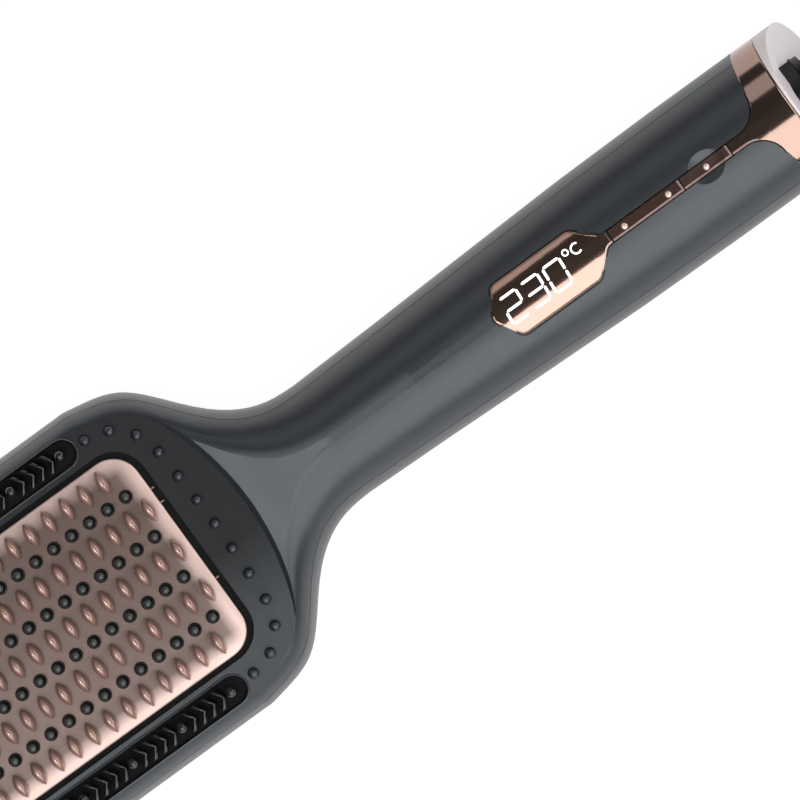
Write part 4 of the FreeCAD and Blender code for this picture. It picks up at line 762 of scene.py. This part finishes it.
def stroke_ends(start):
    """Both ends of each stroke of a digit that starts at a place, by the stroke's letter."""
    left = start + STROKE / 2
    right = start + DIGIT_WIDTH - STROKE / 2
    top = DIGIT_MIDDLE + DIGIT_HALF_HEIGHT - STROKE / 2
    low = DIGIT_MIDDLE - DIGIT_HALF_HEIGHT + STROKE / 2
    return {
        "a": ((left, top), (right, top)),
        "b": ((right, DIGIT_MIDDLE), (right, top)),
        "c": ((right, low), (right, DIGIT_MIDDLE)),
        "d": ((left, low), (right, low)),
        "e": ((left, low), (left, DIGIT_MIDDLE)),
        "f": ((left, DIGIT_MIDDLE), (left, top)),
        "g": ((left, DIGIT_MIDDLE), (right, DIGIT_MIDDLE)),
    }


def arc_lines(place, side, radius, width, angles):
    """Lines along the four edges of a curved bar of the unit."""
    inner = radius - width / 2
    outer = radius + width / 2
    lines = []
    for edge, lift in ((inner, DIGIT_LIFT), (outer, DIGIT_LIFT), (outer, -TRIM_DEPTH), (inner, -TRIM_DEPTH)):
        lines.append([on_grip(place + edge * math.cos(angle), side + edge * math.sin(angle), lift)
                      for angle in angles])
    return lines


lit = Build()
for digit, start in DIGIT_STARTS.items():
    ends = stroke_ends(start)
    for letter in DIGIT_STROKES[digit]:
        lit.rings(stroke_rings(*ends[letter]))
circle_angles = spread(0.0, 2 * math.pi, ARC_STEPS)[:-1]
lit.hoop(*arc_lines(DEGREE_PLACE, DEGREE_SIDE, DEGREE_RADIUS, DEGREE_WIDTH, circle_angles))
letter_angles = spread(LETTER_START, LETTER_STOP, ARC_STEPS)
lit.bar(*arc_lines(LETTER_PLACE, LETTER_SIDE, LETTER_RADIUS, LETTER_WIDTH, letter_angles))
lit.piece("display_digits", "brush", digit_white)

# Metal ring with its tongue

RING_HALF = 16.9
RING_LOW_ROUND = 9.5       # width of the rounding under the handle
RING_LOW = -0.6            # height that the rounding aims at, below the flat underside
RING_START = 154.5
RING_LENGTH = 6.7
RING_FRONT_SLOPE = 5.0     # how much further back the front edge is underneath
RING_BACK_SLOPE = 3.7      # how much further back the rear edge is underneath
RING_PROUD = 0.03
RING_WALL = 1.0
RING_STEPS = 48
EDGE_SINK = 0.25           # how deep the edges of the ring are rounded in
TONGUE_START = 144.75
TONGUE_FLARE = 6.5         # radius of the flare at the ring
TONGUE_DEPTH = 1.0
TONGUE_ROWS = 20
TONGUE_STEPS = 24
MOUTH_HALF = KEY_HALF + TONGUE_FLARE       # half the width of the tongue where it meets the ring
MOUTH_FADE_END = 12.5      # side at which the straight mouth has gone over into the slanting edge
MOUTH_DROP_SHARE = 0.066   # share of the slope that the mouth leaves out
BEVEL_END_SHARE = 0.04     # share of the ring's length at which its rounded front edge ends
# Share of the ring's length and depth of each row, from the front edge over the outside and back inside
RING_ROW_SHARES = (
    (0.0, EDGE_SINK),
    (BEVEL_END_SHARE, -RING_PROUD),
    (0.06, -RING_PROUD),
    (0.91, -RING_PROUD),
    (0.93, -RING_PROUD),
    (1.0, EDGE_SINK),
    (1.0, RING_WALL),
    (BEVEL_END_SHARE, RING_WALL),
    (0.0, EDGE_SINK),
)


def ring_section():
    """Sides and heights of the handle's section at the ring, from its left foot over the top to the right."""
    upper = []
    for angle in spread(0.0, math.pi, 2 * RING_STEPS):
        side = (RING_HALF - CROWN_FLAT) * math.cos(angle)
        height = CROWN_WAIST + (HANDLE_TOP - CROWN_WAIST) * math.sin(angle)
        upper.append((side + math.copysign(CROWN_FLAT, side), height))
    foot = math.asin(CROWN_WAIST / (CROWN_WAIST - RING_LOW))
    lower = []
    for angle in spread(0.0, foot, RING_STEPS // 2)[1:]:
        side = RING_HALF - RING_LOW_ROUND + RING_LOW_ROUND * math.cos(angle)
        lower.append((side, CROWN_WAIST - (CROWN_WAIST - RING_LOW) * math.sin(angle)))
    return lower[::-1] + upper + [(-side, height) for side, height in lower]


def ring_row(share, depth):
    """A row of points round the ring, between its front and rear edge, sunk by a depth."""
    row = []
    for side, height in ring_section():
        drop = (HANDLE_TOP - height) / HANDLE_TOP
        beside = min(1.0, max(0.0, (MOUTH_FADE_END - abs(side)) / (MOUTH_FADE_END - MOUTH_HALF)))
        front = RING_START + RING_FRONT_SLOPE * max(0.0, drop - MOUTH_DROP_SHARE * beside)
        rear = RING_START + RING_LENGTH + RING_BACK_SLOPE * drop
        sink = depth
        if share == 0.0 and abs(side) < MOUTH_HALF:
            sink = -RING_PROUD
        elif share == 0.0:
            front -= EDGE_SINK
        shrink = 1 - sink / RING_HALF
        row.append(at(front + (rear - front) * share, side * shrink,
                      CROWN_WAIST + (height - CROWN_WAIST) * shrink))
    return row


def tongue_half(place):
    """Half the width of the tongue at a place."""
    past = max(0.0, place - (RING_START - TONGUE_FLARE))
    return MOUTH_HALF - math.sqrt(max(0.0, TONGUE_FLARE ** 2 - past ** 2))


def tongue_top(side):
    """Height of the top of the tongue."""
    return crown(side, RING_HALF) + RING_PROUD


def tongue_ring(place):
    """Outline across the tongue, which flares towards the ring."""
    half = tongue_half(place)
    sides = spread(-half, half, TONGUE_STEPS)
    upper = [at(place, side, tongue_top(side)) for side in sides]
    lower = [at(place, side, tongue_top(side) - TONGUE_DEPTH) for side in reversed(sides)]
    return upper + lower


ring = Build()
ring.rings([ring_row(share, depth) for share, depth in RING_ROW_SHARES], closed=False)
ring.rings([tongue_ring(place) for place in spread(TONGUE_START, RING_START, TONGUE_ROWS)])
ring_piece = ring.piece("ring_skin", "brush", rose_mirror)
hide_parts("trim_ring")

# Pale edges of the key strip: painted highlight where light catches the -Y edge and the ends of the keys

KEY_TOP = 27.2
ROCKER_START = 112.8
ROCKER_END = 131.65
POWER_START = 131.95
POWER_END = 144.45
KEY_BARS = (
    ("rocker_edges", "temperature_key", ROCKER_START, ROCKER_END),
    ("power_edges", "power_button", POWER_START, POWER_END),
)
LENS_END = 112.5           # where the window ends in the key strip
DISH_PLACE = 138.4         # middle of the finger dimple, which dishes the power key
DISH_RADIUS = 4.15
DISH_DEPTH = 1.0
DISH_BALL = (DISH_RADIUS ** 2 + DISH_DEPTH ** 2) / (2 * DISH_DEPTH)
EDGE_WIDTH = 0.45
EDGE_RISE = 0.08
EDGE_FALL = 0.03           # how much lower an edge is on its outer side
EDGE_OUT = 0.02            # how far it stands out of the side of the strip
EDGE_STEPS = 40
EDGE_END = 151.0           # where the pale edge of the tongue ends


def key_top(place, side):
    """Height of the top of the keys."""
    away = (place - DISH_PLACE) ** 2 + side ** 2
    if away >= DISH_BALL ** 2:
        return KEY_TOP
    return min(KEY_TOP, HANDLE_TOP - DISH_DEPTH + DISH_BALL - math.sqrt(DISH_BALL ** 2 - away))


def fixed_top(place, side):
    """Height of the top of the parts of the strip that don't move."""
    return tongue_top(side)


def edge_bar(build, points, inward, top):
    """A pale bar along an edge of the strip, a painted highlight on a low ridge; inward points across the
    strip.
    """
    lines = []
    for reach, rise in ((EDGE_WIDTH, EDGE_RISE), (-EDGE_OUT, EDGE_RISE - EDGE_FALL), (-EDGE_OUT, -TRIM_DEPTH),
                        (EDGE_WIDTH, -TRIM_DEPTH)):
        spots = [Vector(point) + Vector(inward) * reach for point in points]
        lines.append([at(spot.x, spot.y, top(spot.x, spot.y) + rise) for spot in spots])
    build.bar(*lines)


for name, body, start, end in KEY_BARS:
    edges = Build()
    edge_bar(edges, [(place, -KEY_HALF) for place in spread(start, end, EDGE_STEPS)], (0, 1), key_top)
    edge_bar(edges, [(end, -KEY_HALF), (end, KEY_HALF)], (-1, 0), key_top)
    edges.piece(name, body, painted_edge_highlight)
tongue_points = [(place, -tongue_half(place)) for place in spread(TONGUE_START, EDGE_END, EDGE_STEPS)]
strip_edges = Build()
edge_bar(strip_edges, tongue_points, (0, 1), fixed_top)
edge_bar(strip_edges, [(LENS_END, -KEY_HALF), (LENS_END, KEY_HALF)], (-1, 0), fixed_top)
strip_edges.piece("strip_edges", "brush", painted_edge_highlight)

# Bright studs on the keys

MINUS_PLACE = 116.5
PLUS_PLACE = 128.2
KEY_STUDS = (
    ("rocker_studs", "temperature_key", "rocker_dots", (MINUS_PLACE, PLUS_PLACE)),
    ("power_stud", "power_button", "power_dot", (DISH_PLACE,)),
)
STUD_RADIUS = 0.75
STUD_RISE = 0.45
STUD_FOOT = 0.5            # how deep a stud sits in its key
STUD_LEVELS = 6
STUD_SIDES = 24


def stud_rings(place):
    """A low dome on a key."""
    base = key_top(place, 0.0)
    profile = [(STUD_RADIUS, base - STUD_FOOT)]
    for angle in spread(0.0, math.pi / 2, STUD_LEVELS)[:-1]:
        profile.append((STUD_RADIUS * math.cos(angle), base + STUD_RISE * math.sin(angle)))
    return turned(place, 0.0, profile, STUD_SIDES)


for name, body, node, places in KEY_STUDS:
    domes = Build()
    for place in places:
        domes.rings(stud_rings(place))
    domes_piece = domes.piece(name, body, bright_stud)
    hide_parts(node)

# Dark gap beside the tongue

GAP_WIDTH = 0.3
GAP_LIFT = 0.03
GAP_STEPS = 24


def gap_line(sign, out, lift):
    """A line beside the tongue and round its flare, moved away from it by a little."""
    bend = RING_START - TONGUE_FLARE
    radius = TONGUE_FLARE - out
    spots = [(TONGUE_START, KEY_HALF + out)]
    for angle in spread(0.0, math.pi / 2, GAP_STEPS):
        spots.append((bend + radius * math.sin(angle), MOUTH_HALF - radius * math.cos(angle)))
    return [at(place, sign * side, tongue_top(side) + lift) for place, side in spots]


gaps = Build()
for sign in (-1, 1):
    gaps.bar(*[gap_line(sign, out, lift) for out, lift in
               ((0.0, GAP_LIFT), (GAP_WIDTH, GAP_LIFT), (GAP_WIDTH, -TRIM_DEPTH), (0.0, -TRIM_DEPTH))])
gaps.piece("tongue_gap", "brush", bed_black)

# Rim of the window and the dark groove round it

LENS_START = 81.4
LENS_SHOULDER = 85.2       # where the window reaches its full width
LENS_NARROW = 105.8        # where it starts to close
LENS_STRIP_START = 111.0   # where it meets the key strip
LENS_HALF = 6.5
LENS_CORNER = 2.2
LENS_SHARP = 0.05          # rounding of the corners that meet the keys
# Place, side and rounding of each corner on the right side, from the head end to the keys
LENS_RIGHT = (
    (LENS_SHOULDER, -LENS_HALF, LENS_CORNER),
    (LENS_NARROW, -LENS_HALF, LENS_CORNER),
    (LENS_STRIP_START, -KEY_HALF, LENS_CORNER),
    (LENS_END, -KEY_HALF, LENS_SHARP),
)
LENS_TIP = (LENS_START, 0.0, LENS_CORNER)
LENS_STEPS = 6
RIM_WIDTH = 0.35
RIM_INNER_LIFT = 0.18
RIM_OUTER_LIFT = 0.08
GROOVE_WIDTH = 0.4
GROOVE_LIFT = 0.1
GROOVE_REACH = 0.1         # how far the groove passes the window, short of the key that tilts there


def rounded(corners):
    """A closed outline whose corners are rounded by the radius that each one brings."""
    points = []
    for before, corner, after in zip(corners[-1:] + corners[:-1], corners, corners[1:] + corners[:1]):
        knee = Vector(corner[:2])
        into = (knee - Vector(before[:2])).normalized()
        out = (Vector(after[:2]) - knee).normalized()
        trim = corner[2] * math.tan(into.angle(out) / 2)
        start = knee - into * trim
        end = knee + out * trim
        for share in spread(0.0, 1.0, LENS_STEPS):
            points.append(start.lerp(knee, share).lerp(knee.lerp(end, share), share))
    return points


def offset(points, distance):
    """The same outline moved outwards."""
    moved = []
    for before, point, after in zip(points[-1:] + points[:-1], points, points[1:] + points[:1]):
        along = (after - before).normalized()
        moved.append(point + Vector((along.y, -along.x)) * distance)
    return moved


lens_left = [(place, -side, rounding) for place, side, rounding in reversed(LENS_RIGHT)]
lens_outline = rounded([LENS_TIP, *LENS_RIGHT, *lens_left])


def lens_line(out, lift):
    """A line round the window, moved outwards and lifted off the grip."""
    furthest = LENS_END + GROOVE_REACH
    return [on_grip(min(point.x, furthest), point.y, lift) for point in offset(lens_outline, out)]


bevel = Build()
bevel.hoop(lens_line(-RIM_WIDTH, RIM_INNER_LIFT), lens_line(0.0, RIM_OUTER_LIFT),
           lens_line(0.0, -TRIM_DEPTH), lens_line(-RIM_WIDTH, -TRIM_DEPTH))
bevel.piece("display_bevel", "brush", rose_mirror)
groove = Build()
groove.hoop(lens_line(0.0, GROOVE_LIFT), lens_line(GROOVE_WIDTH, GROOVE_LIFT),
            lens_line(GROOVE_WIDTH, -TRIM_DEPTH), lens_line(0.0, -TRIM_DEPTH))
groove.piece("display_groove", "brush", black)

# Floor

FLOOR_HALF = 1.6           # half the side of the floor, in metres
FLOOR_LEVEL = -0.3         # just below the underside, in mm
FLOOR_SCALE = 40           # patches of tone
FLOOR_DARK = (0.09, 0.09, 0.09, 1)
FLOOR_LIGHT = (0.11, 0.11, 0.11, 1)
FLOOR_ROUGHNESS = 0.9
FLOOR_SPECULAR = 0.1
FLOOR_GLOW = 0.95

floor_look = bpy.data.materials.new("floor_look")
floor_look.use_nodes = True
floor_patches = add_node(floor_look, "TexNoise")
floor_patches.inputs["Scale"].default_value = FLOOR_SCALE
floor_sockets = shader_of(floor_look).inputs
floor_tone = mixed(floor_look, FLOOR_DARK, FLOOR_LIGHT, floor_patches.outputs["Fac"])
feed(floor_look, floor_tone, floor_sockets["Base Color"])
floor_sockets["Roughness"].default_value = FLOOR_ROUGHNESS
floor_sockets["Specular IOR Level"].default_value = FLOOR_SPECULAR
floor_sockets["Emission Color"].default_value = WHITE
floor_sockets["Emission Strength"].default_value = FLOOR_GLOW
floor_corners = [(along * FLOOR_HALF, across * FLOOR_HALF, FLOOR_LEVEL * MM)
                 for along, across in ((-1, -1), (1, -1), (1, 1), (-1, 1))]
floor = add_mesh("floor", floor_corners, [(0, 1, 2, 3)], floor_look)

# Light

LIGHT_PLACE = 40.0         # what the panels aim at
LIGHT_HEIGHT = 20.0
WORLD_STRENGTH = 0.07
# Name, tilt from straight above and azimuth in degrees, distance, width and height in metres, power in watts
PANELS = (
    ("key", 44, -90, 1.1, 1.5, 1.5, 20.5),
    ("fill", 52, 90, 1.1, 1.5, 0.6, 2.2),
    ("head", 26, 180, 1.1, 0.6, 0.7, 1.6),
    ("end", 60, 0, 1.1, 0.8, 0.8, 5),
    ("spot", 14, 185, 1.0, 0.12, 0.12, 1.2),
)


def panel(name, tilt, azimuth, distance, width, height, power):
    """A soft light panel aimed at the brush."""
    data = bpy.data.lights.new(name, "AREA")
    data.shape = "RECTANGLE"
    data.size = width
    data.size_y = height
    data.energy = power
    level = math.sin(math.radians(tilt))
    turn = math.radians(azimuth)
    away = Vector((level * math.cos(turn), level * math.sin(turn), math.cos(math.radians(tilt))))
    lamp = bpy.data.objects.new(name, data)
    lamp.location = at(LIGHT_PLACE, 0, LIGHT_HEIGHT) + away * distance
    lamp.rotation_euler = (-away).to_track_quat("-Z", "Y").to_euler()
    bpy.context.collection.objects.link(lamp)


for values in PANELS:
    panel(*values)
world = bpy.data.worlds.new("world")
scene.world = world
world.use_nodes = True
world.node_tree.nodes["Background"].inputs["Color"].default_value = WHITE
world.node_tree.nodes["Background"].inputs["Strength"].default_value = WORLD_STRENGTH
